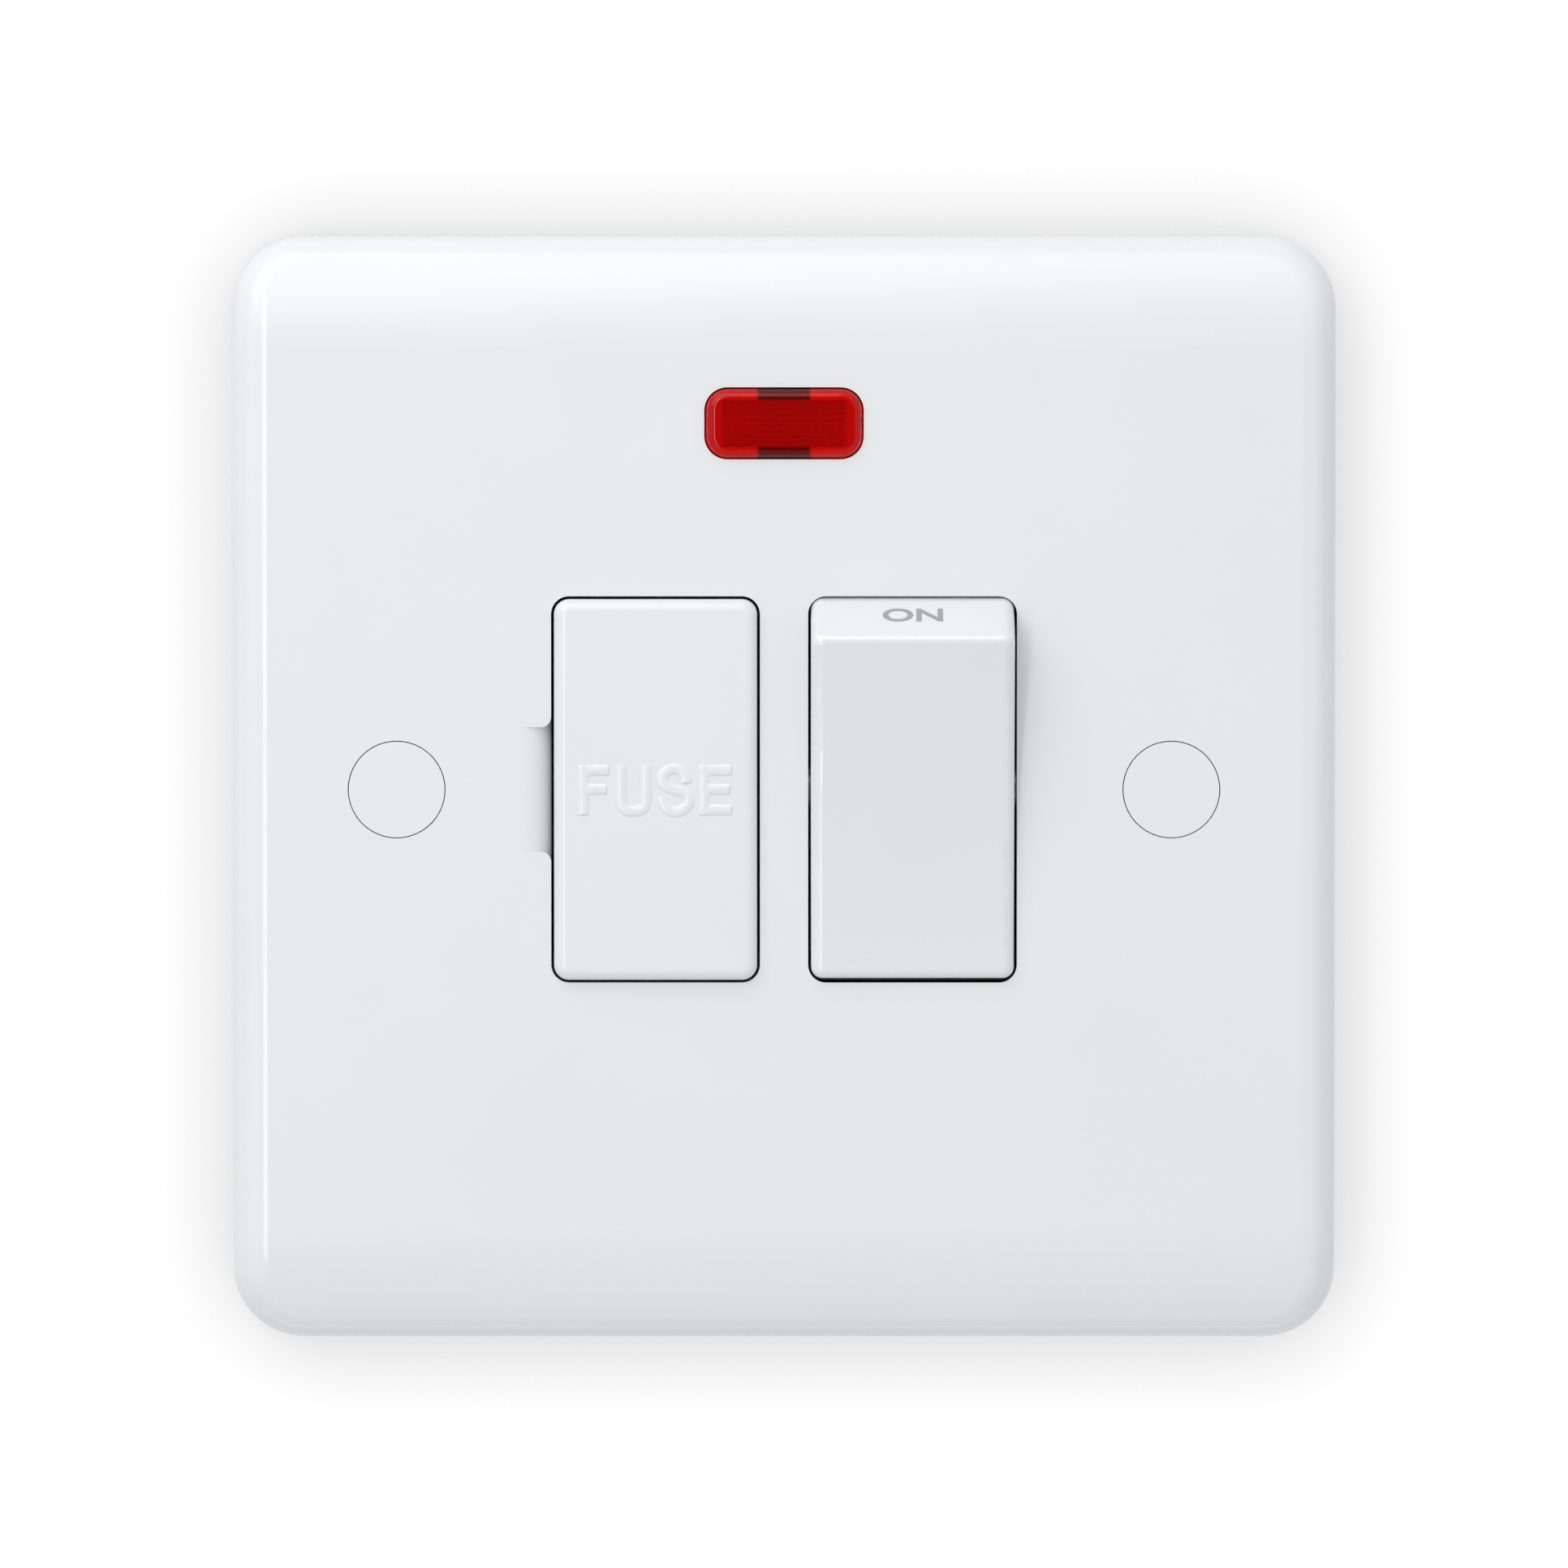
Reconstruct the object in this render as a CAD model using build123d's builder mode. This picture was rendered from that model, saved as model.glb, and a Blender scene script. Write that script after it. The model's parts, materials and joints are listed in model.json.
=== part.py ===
from build123d import *
import os
from math import cos, pi, radians, sin, sqrt, tan

# Switched fused connection unit on a single-gang plate, in millimetres.
# X runs to the right and Z up, as seen from the front. The wall is the plane Y = 0, the front
# faces -Y, and the working parts reach back into the wall box along +Y. A height here is the
# distance in front of the wall, so it is negative behind the wall.
os.makedirs("parts", exist_ok=True)

# Front plate: outline, edges and walls
plate_width = 86.0
plate_height = 86.0
plate_depth = 9.5
plate_skin = 2.5
plate_rim = 2.2
corner_radius = 5.5
edge_round = 2.8
crown_radius = 16.0
crown_run = 8.6

# Windows of the fuse carrier and the rocker, side by side
window_width = 16.25
window_height = 30.1
window_corner = 1.4
window_spacing = 20.0
window_gap = 0.22
window_draft = 10.0
guide_wall = 1.2
ledge_thickness = 0.8

# Screwdriver notch beside the fuse carrier
notch_length = 9.7
notch_roll = 2.3
notch_mouth_round = 0.8

# Fixing screws and their caps
fixing_spacing = 60.3
fixing_boss_wall = 1.2
fixing_boss_foot = 0.8
fixing_floor = 4.0
fixing_hole_radius = 2.0
fixing_hole_slot = 1.2
head_radius = 3.3
head_height = 2.2
head_clearance = 0.3
neck_radius = 1.5
neck_length = 3.5
thread_radius = 1.75
fixing_screw_length = 25.0
slot_width = 1.0
slot_depth = 1.0
cap_radius = 3.73
cap_thickness = 1.2
cap_clearance = 0.08
cap_ring_wall = 0.8
seat_clearance = 0.1

# Fuse carrier and cartridge fuse
carrier_rise = 1.0
carrier_round = 0.9
carrier_roof = 2.2
carrier_wall = 1.4
lever_slot_depth = 0.9
lever_slot_height = 2.0
lever_slot_drop = 2.4
fuse_height = -1.0
fuse_length = 25.4
fuse_cap_radius = 3.175
fuse_cap_length = 6.2
fuse_cap_wall = 0.3
fuse_clearance = 0.5
fuse_headroom = 0.15
barrel_radius = 2.85
fit_clearance = 0.05
cradle_length = 11.0
cradle_wall = 1.5
cradle_saddle = 1.2
cradle_grip = 1.3
cradle_mouth = 2.5

# Rocker, as it stands switched on
rocker_tilt = 10.0
pivot_height = 5.4
pin_radius = 1.5
pin_reach = 1.9
cheek_wall = 1.5
cheek_depth = 4.0
rocker_end_bulge = 0.32
ridge_rise = 7.38
ridge_setback = 1.85
ridge_round = 0.7
dish_depth = 1.14
foot_rise = 1.45
foot_round = 3.0
heel_rise = -3.2
rocker_wall = 1.6
rocker_side_round = 0.9

# Sprung plungers in the rocker, one behind each pole
pole_spacing = 8.0
tube_wall = 0.85
tube_end = -5.0
plunger_radius = 1.6
plunger_reach = 8.4
plunger_length = 7.4
spring_wire = 0.45
spring_turns = 4
spring_runs = 8
spring_facets = 8

# See-saw contacts
contact_tilt = 12.0
contact_thickness = 1.0
contact_width = 4.0
contact_reach = 7.6
contact_tail = 6.0
contact_end = 2.0
plunger_clearance = 0.1
valley_rise = 1.1
rivet_radius = 1.5
rivet_thickness = 0.6
contact_gap = 0.05

# Brass terminals and straps
strap_thickness = 1.0
strap_width = 4.0
strap_bend = 1.2
strap_gap = 1.0
block_width = 6.4
block_length = 7.4
block_depth = 9.0
block_edge = 0.4
block_clearance = 0.1
wire_radius = 2.2
wire_wall = 0.8
riser_reach = 11.2
earth_strap_width = 1.4
clip_thickness = 0.6
clip_width = 4.8
clip_reach = 9.8
clip_clearance = 0.06
clip_lip_start = 2.2
clip_lip_rise = 1.5
clip_lip_flare = 1.0
clip_bend = 0.8
terminal_screw_radius = 1.75
terminal_head_radius = 2.6
terminal_head_height = 1.8
screw_clearance = 0.1

# Rear housing
tray_height = 49.0
tray_corner = 2.5
tray_wall = 1.5
tray_floor = 2.0
tray_back = -13.0
barrier_top = 0.5
barrier_wall = 1.4
rib_wall = 1.0
rib_rise = 6.0
post_radius = 2.6
post_sink = 0.3
post_clearance = 0.4
post_joint = 1.0
housing_screw_radius = 1.45
housing_head_radius = 2.1
housing_head_height = 1.4
housing_screw_bite = 4.5
wire_window = 5.2

# Neon indicator
lens_lift = 4.0
lens_width = 12.2
lens_height = 5.4
lens_corner = 1.7
lens_rise = 0.6
lens_round = 0.8
lens_clearance = 0.1
lens_wall = 1.0
lens_end_wall = 1.25
lens_front = 1.4
lens_flange = 1.1
lens_flange_drop = 0.55
lens_flange_thickness = 0.8
rib_pitch = 0.42
rib_depth = 0.22
rib_count = 8
pocket_wall = 1.2
pocket_foot = 1.4
bulb_radius = 2.0
bulb_length = 10.0
bulb_height = 3.9
tongue_width = 10.0
tongue_length = 6.0
tongue_thickness = 1.0
lead_radius = 0.35
lead_bend = 1.5
lead_x = 13.0
lead_slot = 0.5
resistor_radius = 1.1
resistor_length = 5.0
resistor_gap = 0.6
resistor_bevel = 0.35

# Least part of a face's normal that counts as facing to the front or the back
facing = 0.5

# Places worked out from the sizes above
skin_back = plate_depth - plate_skin
rocker_x = window_spacing / 2
carrier_x = -window_spacing / 2
rocker_width = window_width - 2 * window_gap
carrier_width = window_width - 2 * window_gap
carrier_length = window_height - 2 * window_gap
carrier_corner = window_corner - window_gap
carrier_foot = fuse_height + fuse_cap_radius + fuse_headroom
guide_foot = carrier_foot - seat_clearance - ledge_thickness
ledge_width = (window_height - fuse_length) / 2 - fuse_clearance
rocker_end_radius = window_height / 2 + rocker_end_bulge
ridge_reach = rocker_end_radius - ridge_setback
carrier_front = plate_depth + carrier_rise
pole_x = (rocker_x - pole_spacing / 2, rocker_x + pole_spacing / 2)
outer_pole_x = pole_x[1]
floor_height = tray_back + tray_floor
post_x = outer_pole_x + block_width / 2 + post_clearance + post_radius
tray_width = 2 * (post_x + post_radius - post_sink + tray_wall)
post_z = tray_height / 2 - tray_wall - post_radius + post_sink
boss_radius = post_radius - post_sink - block_clearance
tilt = radians(contact_tilt)
valley_height = pivot_height - plunger_reach - (plunger_radius + plunger_clearance) / cos(tilt)
fulcrum_height = valley_height - valley_rise
wing_front = fulcrum_height + valley_rise * cos(tilt)
wing_back = wing_front - contact_thickness
shelf_front = wing_back - 2 * rivet_thickness - contact_gap
shelf_middle = shelf_front - strap_thickness / 2
strap_middle = floor_height + strap_thickness / 2
block_front = floor_height + block_depth
wire_height = block_front - wire_wall - wire_radius
block_outer = tray_height / 2 - tray_wall - block_clearance
block_z = block_outer - block_length / 2
block_inner = block_outer - block_length
roof_back = ridge_rise - dish_depth - rocker_wall
lens_z = tray_height / 2 + lens_lift
lens_top = plate_depth + lens_rise
flange_back = skin_back - lens_flange_thickness
resistor_top = tray_height / 2 - tray_wall - resistor_gap


def front_plane(height):
    """Plane along the wall at this height. Its axes are X and Z, and it faces the front."""
    return Plane.XZ.offset(height)


def side_plane(x, height=0.0, lean=0.0):
    """Plane across X. Its axes are the height and Z, turned by lean degrees about X."""
    turn = radians(lean)
    return Plane(origin=(x, -height, 0), x_dir=(0, -cos(turn), -sin(turn)), z_dir=(-1, 0, 0))


def level_plane(z):
    """Plane across Z. Its axes are X and the height."""
    return Plane(origin=(0, 0, z), x_dir=(1, 0, 0), z_dir=(0, 0, -1))


def rocker_plane(rise):
    """Plane square to the rocker's own depth, this far in front of its pivot."""
    turn = radians(rocker_tilt)
    outwards = (0, -cos(turn), -sin(turn))
    return Plane(origin=(rocker_x, -pivot_height, 0), x_dir=(1, 0, 0), z_dir=outwards).offset(rise)


def finish(piece, name):
    """Label a finished piece and write its file."""
    piece.part.label = name
    export_step(piece.part, f"parts/{name}.step")


def plate_form(width, height, depth, corner, crown, run):
    """Plate body: a flat front that rolls back at the top and bottom, with round corners."""
    edge = height / 2
    flat = edge - run
    drop = crown - sqrt(crown**2 - run**2)
    with BuildPart() as form:
        with BuildSketch(side_plane(0)):
            with BuildLine():
                Polyline((depth - drop, -edge), (0, -edge), (0, edge), (depth - drop, edge))
                TangentArc((depth, flat), (depth - drop, edge), tangent=(0, 1))
                Line((depth, flat), (depth, -flat))
                TangentArc((depth, -flat), (depth - drop, -edge), tangent=(0, -1))
            make_face()
        extrude(amount=width / 2, both=True)
        fillet(form.edges().filter_by(Axis.Y), corner)
    return form.part


# Screwdriver notch: the plate's edge rolls down into the gap beside the carrier
notch_edge = carrier_x - window_width / 2
with BuildPart() as notch:
    with BuildSketch(level_plane(0)):
        with BuildLine():
            roll = TangentArc(
                (notch_edge - notch_roll, plate_depth),
                (notch_edge, plate_depth - notch_roll),
                tangent=(1, 0),
            )
            Polyline(
                roll @ 1,
                (notch_edge + window_gap, plate_depth - notch_roll),
                (notch_edge + window_gap, plate_depth),
                roll @ 0,
            )
        make_face()
    extrude(amount=notch_length / 2 + notch_mouth_round, both=True)
    with BuildSketch(front_plane(skin_back)) as mouth:
        with Locations((notch_edge - notch_roll, 0)):
            Rectangle(2 * notch_roll, notch_length)
        with Locations((notch_edge + notch_mouth_round, 0)):
            Rectangle(2 * notch_mouth_round, notch_length + 4 * notch_mouth_round)
        inner = mouth.vertices().filter_by_position(
            Axis.X, notch_edge - window_gap, notch_edge + window_gap
        )
        mouth_reach = notch_length / 2 + notch_mouth_round
        fillet(inner.filter_by(lambda corner: abs(corner.Y) < mouth_reach), notch_mouth_round)
    extrude(amount=plate_skin, mode=Mode.INTERSECT)

# Front plate
with BuildPart() as front_plate:
    add(plate_form(plate_width, plate_height, plate_depth, corner_radius, crown_radius, crown_run))
    sides = front_plate.faces().filter_by(lambda face: abs(face.normal_at().Y) < facing)
    fronts = front_plate.faces().filter_by(lambda face: face.normal_at().Y < -facing)
    fillet(sides.edges() & fronts.edges(), edge_round)
    add(
        plate_form(
            plate_width - 2 * plate_rim,
            plate_height - 2 * plate_rim,
            skin_back,
            corner_radius - plate_rim,
            crown_radius - plate_skin,
            crown_run - plate_rim,
        ),
        mode=Mode.SUBTRACT,
    )
    # Guide round the fuse carrier, with a stop at each end
    with BuildSketch(front_plane(guide_foot)):
        with Locations((carrier_x, 0)):
            RectangleRounded(
                window_width + 2 * guide_wall, window_height + 2 * guide_wall, window_corner + guide_wall
            )
    extrude(amount=skin_back - guide_foot)
    with BuildSketch(front_plane(guide_foot)):
        with Locations((carrier_x, 0)):
            Rectangle(window_width, window_height - 2 * ledge_width)
    extrude(amount=ledge_thickness, mode=Mode.SUBTRACT)
    with BuildSketch(front_plane(guide_foot + ledge_thickness)):
        with Locations((carrier_x, 0)):
            RectangleRounded(window_width, window_height, window_corner)
    extrude(amount=plate_depth - guide_foot - ledge_thickness, mode=Mode.SUBTRACT)
    add(notch.part, mode=Mode.SUBTRACT)
    # Bearing cheeks and window of the rocker
    cheek_x = (window_width + cheek_wall) / 2 + plate_skin * tan(radians(window_draft))
    with BuildSketch(front_plane(skin_back - cheek_depth)):
        with Locations((rocker_x - cheek_x, 0), (rocker_x + cheek_x, 0)):
            Rectangle(cheek_wall, window_height)
    extrude(amount=cheek_depth)
    with BuildSketch(front_plane(plate_depth)):
        with Locations((rocker_x, 0)):
            RectangleRounded(window_width, window_height, window_corner)
    extrude(amount=-plate_skin, taper=-window_draft, mode=Mode.SUBTRACT)
    with BuildSketch(side_plane(rocker_x, pivot_height)):
        Circle(pin_radius + fit_clearance)
        with Locations((-pivot_height / 2, 0)):
            Rectangle(pivot_height, 2 * (pin_radius + fit_clearance))
    extrude(amount=rocker_width / 2 + pin_reach + fit_clearance, both=True, mode=Mode.SUBTRACT)
    # Wells of the fixing screws
    with BuildSketch(front_plane(fixing_boss_foot)):
        with GridLocations(fixing_spacing, 0, 2, 1):
            Circle(head_radius + head_clearance + fixing_boss_wall)
    extrude(amount=skin_back - fixing_boss_foot)
    with BuildSketch(front_plane(fixing_boss_foot)):
        with GridLocations(fixing_spacing, 0, 2, 1):
            SlotCenterToCenter(fixing_hole_slot, 2 * fixing_hole_radius)
    extrude(amount=plate_depth - fixing_boss_foot, mode=Mode.SUBTRACT)
    with BuildSketch(front_plane(fixing_floor)):
        with GridLocations(fixing_spacing, 0, 2, 1):
            Circle(head_radius + head_clearance)
    extrude(amount=plate_depth - fixing_floor, mode=Mode.SUBTRACT)
    with BuildSketch(front_plane(plate_depth - cap_thickness)):
        with GridLocations(fixing_spacing, 0, 2, 1):
            Circle(cap_radius + cap_clearance)
    extrude(amount=cap_thickness, mode=Mode.SUBTRACT)
    # Bosses that take the housing screws
    with BuildSketch(front_plane(post_joint)):
        with GridLocations(2 * post_x, 2 * post_z, 2, 2):
            Circle(boss_radius)
    extrude(amount=skin_back - post_joint)
    with BuildSketch(front_plane(post_joint)):
        with GridLocations(2 * post_x, 2 * post_z, 2, 2):
            Circle(housing_screw_radius + fit_clearance)
    extrude(amount=housing_screw_bite + screw_clearance, mode=Mode.SUBTRACT)
    # Window and pocket of the neon indicator
    pocket_width = lens_width + 2 * (lens_flange + lens_clearance)
    pocket_top = lens_z + lens_height / 2 + lens_flange_drop + lens_clearance
    pocket_low = tray_height / 2 + lens_clearance
    with BuildSketch(front_plane(pocket_foot)):
        with Locations((0, (pocket_top + pocket_wall + pocket_low) / 2)):
            Rectangle(pocket_width + 2 * pocket_wall, pocket_top + pocket_wall - pocket_low)
        with Locations((0, (pocket_top + pocket_low) / 2)):
            Rectangle(pocket_width, pocket_top - pocket_low, mode=Mode.SUBTRACT)
    extrude(amount=skin_back - pocket_foot)
    with BuildSketch(front_plane(pocket_foot)):
        with Locations((0, lens_z)):
            Rectangle(pocket_width + 4 * pocket_wall, 2 * (lead_radius + lead_slot))
    extrude(amount=bulb_height + lead_radius + lead_slot - pocket_foot, mode=Mode.SUBTRACT)
    with BuildSketch(front_plane(flange_back)):
        with Locations((0, lens_z)):
            RectangleRounded(
                lens_width + 2 * lens_clearance,
                lens_height + 2 * lens_clearance,
                lens_corner + lens_clearance,
            )
    extrude(amount=plate_depth - flange_back, mode=Mode.SUBTRACT)
finish(front_plate, "front_plate")

# Screw caps: flush disc with a ring that drops into the screw well
for side, cap_name in ((-1, "left_screw_cap"), (1, "right_screw_cap")):
    cap_x = side * fixing_spacing / 2
    cap_seat = plate_depth - cap_thickness
    ring_radius = head_radius + head_clearance - cap_clearance
    ring_foot = fixing_floor + head_height + seat_clearance
    with BuildPart() as screw_cap:
        with BuildSketch(front_plane(cap_seat)):
            with Locations((cap_x, 0)):
                Circle(cap_radius)
        extrude(amount=cap_thickness)
        with BuildSketch(front_plane(ring_foot)):
            with Locations((cap_x, 0)):
                Circle(ring_radius)
                Circle(ring_radius - cap_ring_wall, mode=Mode.SUBTRACT)
        extrude(amount=cap_seat - ring_foot)
    finish(screw_cap, cap_name)

# Fixing screws: slotted head, plain neck, then the thread behind the plate
thread_start = fixing_floor - neck_length
with BuildPart() as fixing_screws:
    with BuildSketch(front_plane(fixing_floor)):
        with GridLocations(fixing_spacing, 0, 2, 1):
            Circle(head_radius)
    extrude(amount=head_height)
    with BuildSketch(front_plane(fixing_floor + head_height - slot_depth)):
        with GridLocations(fixing_spacing, 0, 2, 1):
            Rectangle(2 * head_radius, slot_width)
    extrude(amount=slot_depth, mode=Mode.SUBTRACT)
    with BuildSketch(front_plane(thread_start)):
        with GridLocations(fixing_spacing, 0, 2, 1):
            Circle(neck_radius)
    extrude(amount=neck_length)
    with BuildSketch(front_plane(fixing_floor - fixing_screw_length)):
        with GridLocations(fixing_spacing, 0, 2, 1):
            Circle(thread_radius)
    extrude(amount=fixing_screw_length - neck_length)
finish(fixing_screws, "fixing_screws")

# Fuse carrier: hollow front with a sprung cradle for the fuse behind it
cradle_width = 2 * (barrel_radius + fit_clearance + cradle_wall)
with BuildPart() as fuse_carrier:
    with BuildSketch(front_plane(carrier_foot)):
        with Locations((carrier_x, 0)):
            RectangleRounded(carrier_width, carrier_length, carrier_corner)
    extrude(amount=carrier_front - carrier_foot)
    fillet(fuse_carrier.faces().sort_by(Axis.Y)[0].edges(), carrier_round)
    with BuildSketch(front_plane(carrier_foot)):
        with Locations((carrier_x, 0)):
            Rectangle(carrier_width - 2 * carrier_wall, carrier_length - 2 * carrier_wall)
    extrude(amount=carrier_front - carrier_roof - carrier_foot, mode=Mode.SUBTRACT)
    cradle_back = fuse_height - cradle_grip
    with BuildSketch(level_plane(0)) as cradle_section:
        with Locations((carrier_x, (cradle_back + carrier_front - carrier_roof) / 2)):
            Rectangle(cradle_width, carrier_front - carrier_roof - cradle_back)
        with Locations((carrier_x, fuse_height)):
            Circle(barrel_radius + fit_clearance, mode=Mode.SUBTRACT)
        with Locations((carrier_x, (fuse_height + cradle_back) / 2)):
            Rectangle(2 * cradle_mouth, fuse_height - cradle_back, mode=Mode.SUBTRACT)
        saddle_front = fuse_height + barrel_radius + fit_clearance + cradle_saddle
        with Locations((carrier_x, (saddle_front + carrier_front - carrier_roof) / 2)):
            Rectangle(2 * barrel_radius, carrier_front - carrier_roof - saddle_front, mode=Mode.SUBTRACT)
    extrude(amount=cradle_length / 2, both=True)
    lever_slot_middle = plate_depth - lever_slot_drop - lever_slot_height / 2
    with BuildSketch(level_plane(0)):
        with Locations((carrier_x - carrier_width / 2, lever_slot_middle)):
            Rectangle(2 * lever_slot_depth, lever_slot_height)
    extrude(amount=notch_length / 2, both=True, mode=Mode.SUBTRACT)
finish(fuse_carrier, "fuse_carrier")

# Cartridge fuse: ceramic barrel and two metal end caps
barrel_end = fuse_length / 2 - fuse_cap_wall
with BuildPart() as fuse_barrel:
    with BuildSketch(level_plane(0)):
        with Locations((carrier_x, fuse_height)):
            Circle(barrel_radius)
    extrude(amount=barrel_end, both=True)
finish(fuse_barrel, "fuse_barrel")

for end, fuse_cap_name in ((1, "fuse_cap_upper"), (-1, "fuse_cap_lower")):
    with BuildPart() as fuse_cap:
        with BuildSketch(level_plane(end * fuse_length / 2)):
            with Locations((carrier_x, fuse_height)):
                Circle(fuse_cap_radius)
        extrude(amount=end * fuse_cap_length)
        with BuildSketch(level_plane(end * barrel_end)):
            with Locations((carrier_x, fuse_height)):
                Circle(barrel_radius + fit_clearance / 2)
        extrude(amount=end * fuse_cap_length, mode=Mode.SUBTRACT)
    finish(fuse_cap, fuse_cap_name)


def rocker_outline(heel):
    """Rocker seen from the side: dished front, sloping ends and round ends about the pivot."""

    def end_point(rise, end):
        return (rise, end * sqrt(rocker_end_radius**2 - rise**2))

    with BuildSketch(side_plane(rocker_x, pivot_height, rocker_tilt)) as outline:
        with BuildLine():
            ThreePointArc(
                (ridge_rise, -ridge_reach), (ridge_rise - dish_depth, 0), (ridge_rise, ridge_reach)
            )
            for end in (-1, 1):
                Line((ridge_rise, end * ridge_reach), end_point(foot_rise, end))
                middle = end_point((foot_rise + heel) / 2, end)
                ThreePointArc(end_point(foot_rise, end), middle, end_point(heel, end))
            Line(end_point(heel, -1), end_point(heel, 1))
        make_face()
    return outline


# Rocker: hollow shell with pivot pins at its sides and a tube for each sprung plunger
with BuildPart() as rocker:
    with BuildSketch(side_plane(rocker_x, pivot_height, rocker_tilt)) as shell_outline:
        add(rocker_outline(heel_rise).sketch_local)
        fillet(shell_outline.vertices().group_by(Axis.X)[-1], ridge_round)
        fillet(shell_outline.vertices().group_by(Axis.X)[1], foot_round)
    extrude(amount=rocker_width / 2, both=True)
    flanks = rocker.faces().filter_by(Axis.X)
    heel = rocker.faces().filter_by(lambda face: face.normal_at().Y > facing)
    fillet(flanks.edges() - heel.edges(), rocker_side_round)
    with BuildSketch(side_plane(rocker_x, pivot_height, rocker_tilt)):
        add(rocker_outline(heel_rise - 2 * rocker_wall).sketch_local)
        offset(amount=-rocker_wall, kind=Kind.INTERSECTION, mode=Mode.REPLACE)
    extrude(amount=rocker_width / 2 - rocker_wall, both=True, mode=Mode.SUBTRACT)
    with BuildSketch(rocker_plane(tube_end)):
        with GridLocations(pole_spacing, 0, 2, 1):
            Circle(plunger_radius + fit_clearance + tube_wall)
    extrude(amount=roof_back + rocker_wall / 2 - tube_end)
    with BuildSketch(rocker_plane(tube_end)):
        with GridLocations(pole_spacing, 0, 2, 1):
            Circle(plunger_radius + fit_clearance)
    extrude(amount=roof_back - tube_end, mode=Mode.SUBTRACT)
    for side in (-1, 1):
        with BuildSketch(side_plane(rocker_x + side * (rocker_width / 2 - rocker_wall), pivot_height)):
            Circle(pin_radius)
        extrude(amount=-side * (rocker_wall + pin_reach))
finish(rocker, "rocker")

# Plungers and their springs, in the rocker's tubes
plunger_top = plunger_length - plunger_reach
for x, pole in zip(pole_x, ("live", "neutral")):
    with BuildPart() as plunger:
        with BuildSketch(side_plane(x, pivot_height, rocker_tilt)):
            with BuildLine():
                Polyline(
                    (-plunger_reach - plunger_radius, 0),
                    (plunger_top, 0),
                    (plunger_top, plunger_radius),
                    (-plunger_reach, plunger_radius),
                )
                TangentArc(
                    (-plunger_reach, plunger_radius), (-plunger_reach - plunger_radius, 0), tangent=(-1, 0)
                )
            make_face()
        turn = radians(rocker_tilt)
        revolve(axis=Axis((x, -pivot_height, 0), (0, cos(turn), sin(turn))))
    finish(plunger, f"{pole}_plunger")

    spring_height = roof_back - plunger_top - spring_wire
    spring_radius = plunger_radius - spring_wire / 2
    run_count = spring_turns * spring_runs
    coil_points = []
    for step in range(run_count + 1):
        angle = 2 * pi * step / spring_runs
        across = x - rocker_x + spring_radius * cos(angle)
        coil_points.append((across, spring_radius * sin(angle), spring_height * step / run_count))
    with BuildPart() as spring:
        with BuildLine(rocker_plane(plunger_top + spring_wire / 2)):
            coil = Polyline(*coil_points)
        with BuildSketch(Plane(coil @ 0, z_dir=coil % 0)):
            RegularPolygon(spring_wire / 2, spring_facets)
        sweep(transition=Transition.RIGHT)
    finish(spring, f"{pole}_spring")

# See-saw contacts: a bent bar that rocks on its fulcrum, with a rivet at its upper end
for x, pole in zip(pole_x, ("live", "neutral")):
    with BuildPart() as contact:
        with BuildSketch(side_plane(x, fulcrum_height, -contact_tilt)):
            fold = valley_rise - contact_thickness / 2 / cos(tilt)
            upper = contact_reach + contact_end
            with BuildLine():
                Polyline(
                    (fold + contact_tail * sin(tilt), -contact_tail * cos(tilt)),
                    (fold, 0),
                    (fold + upper * sin(tilt), upper * cos(tilt)),
                )
            trace(line_width=contact_thickness)
            Circle(strap_thickness / 2 + fit_clearance, mode=Mode.SUBTRACT)
        extrude(amount=contact_width / 2, both=True)
    finish(contact, f"{pole}_contact")
    with BuildPart() as moving_rivet:
        with BuildSketch(front_plane(wing_back)):
            with Locations((x, contact_reach)):
                Circle(rivet_radius)
        extrude(amount=-rivet_thickness)
    finish(moving_rivet, f"{pole}_moving_rivet")
    with BuildPart() as fixed_rivet:
        with BuildSketch(front_plane(shelf_front)):
            with Locations((x, contact_reach)):
                Circle(rivet_radius)
        extrude(amount=rivet_thickness)
    finish(fixed_rivet, f"{pole}_fixed_rivet")


def terminal_block(x, end):
    """Clamping block with its wire hole along Z and its screw hole from behind."""
    with BuildPart() as block:
        with BuildSketch(front_plane(floor_height)):
            with Locations((x, end * block_z)):
                Rectangle(block_width, block_length)
        extrude(amount=block_depth)
        chamfer(block.edges().filter_by(Axis.Y), block_edge)
        with BuildSketch(level_plane(end * block_z)):
            with Locations((x, wire_height)):
                Circle(wire_radius)
        extrude(amount=block_length / 2, both=True, mode=Mode.SUBTRACT)
        with BuildSketch(front_plane(floor_height)):
            with Locations((x, end * block_z)):
                Circle(terminal_screw_radius + fit_clearance)
        extrude(amount=wire_height - floor_height, mode=Mode.SUBTRACT)
    return block.part


def folded_strap(x, points):
    """Strip of brass, folded along these points of height and Z, across one pole."""
    with BuildPart() as strip:
        with BuildSketch(side_plane(x)):
            with BuildLine():
                FilletPolyline(*points, radius=strap_bend)
            trace(line_width=strap_thickness)
        extrude(amount=strap_width / 2, both=True)
    return strip.part


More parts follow.
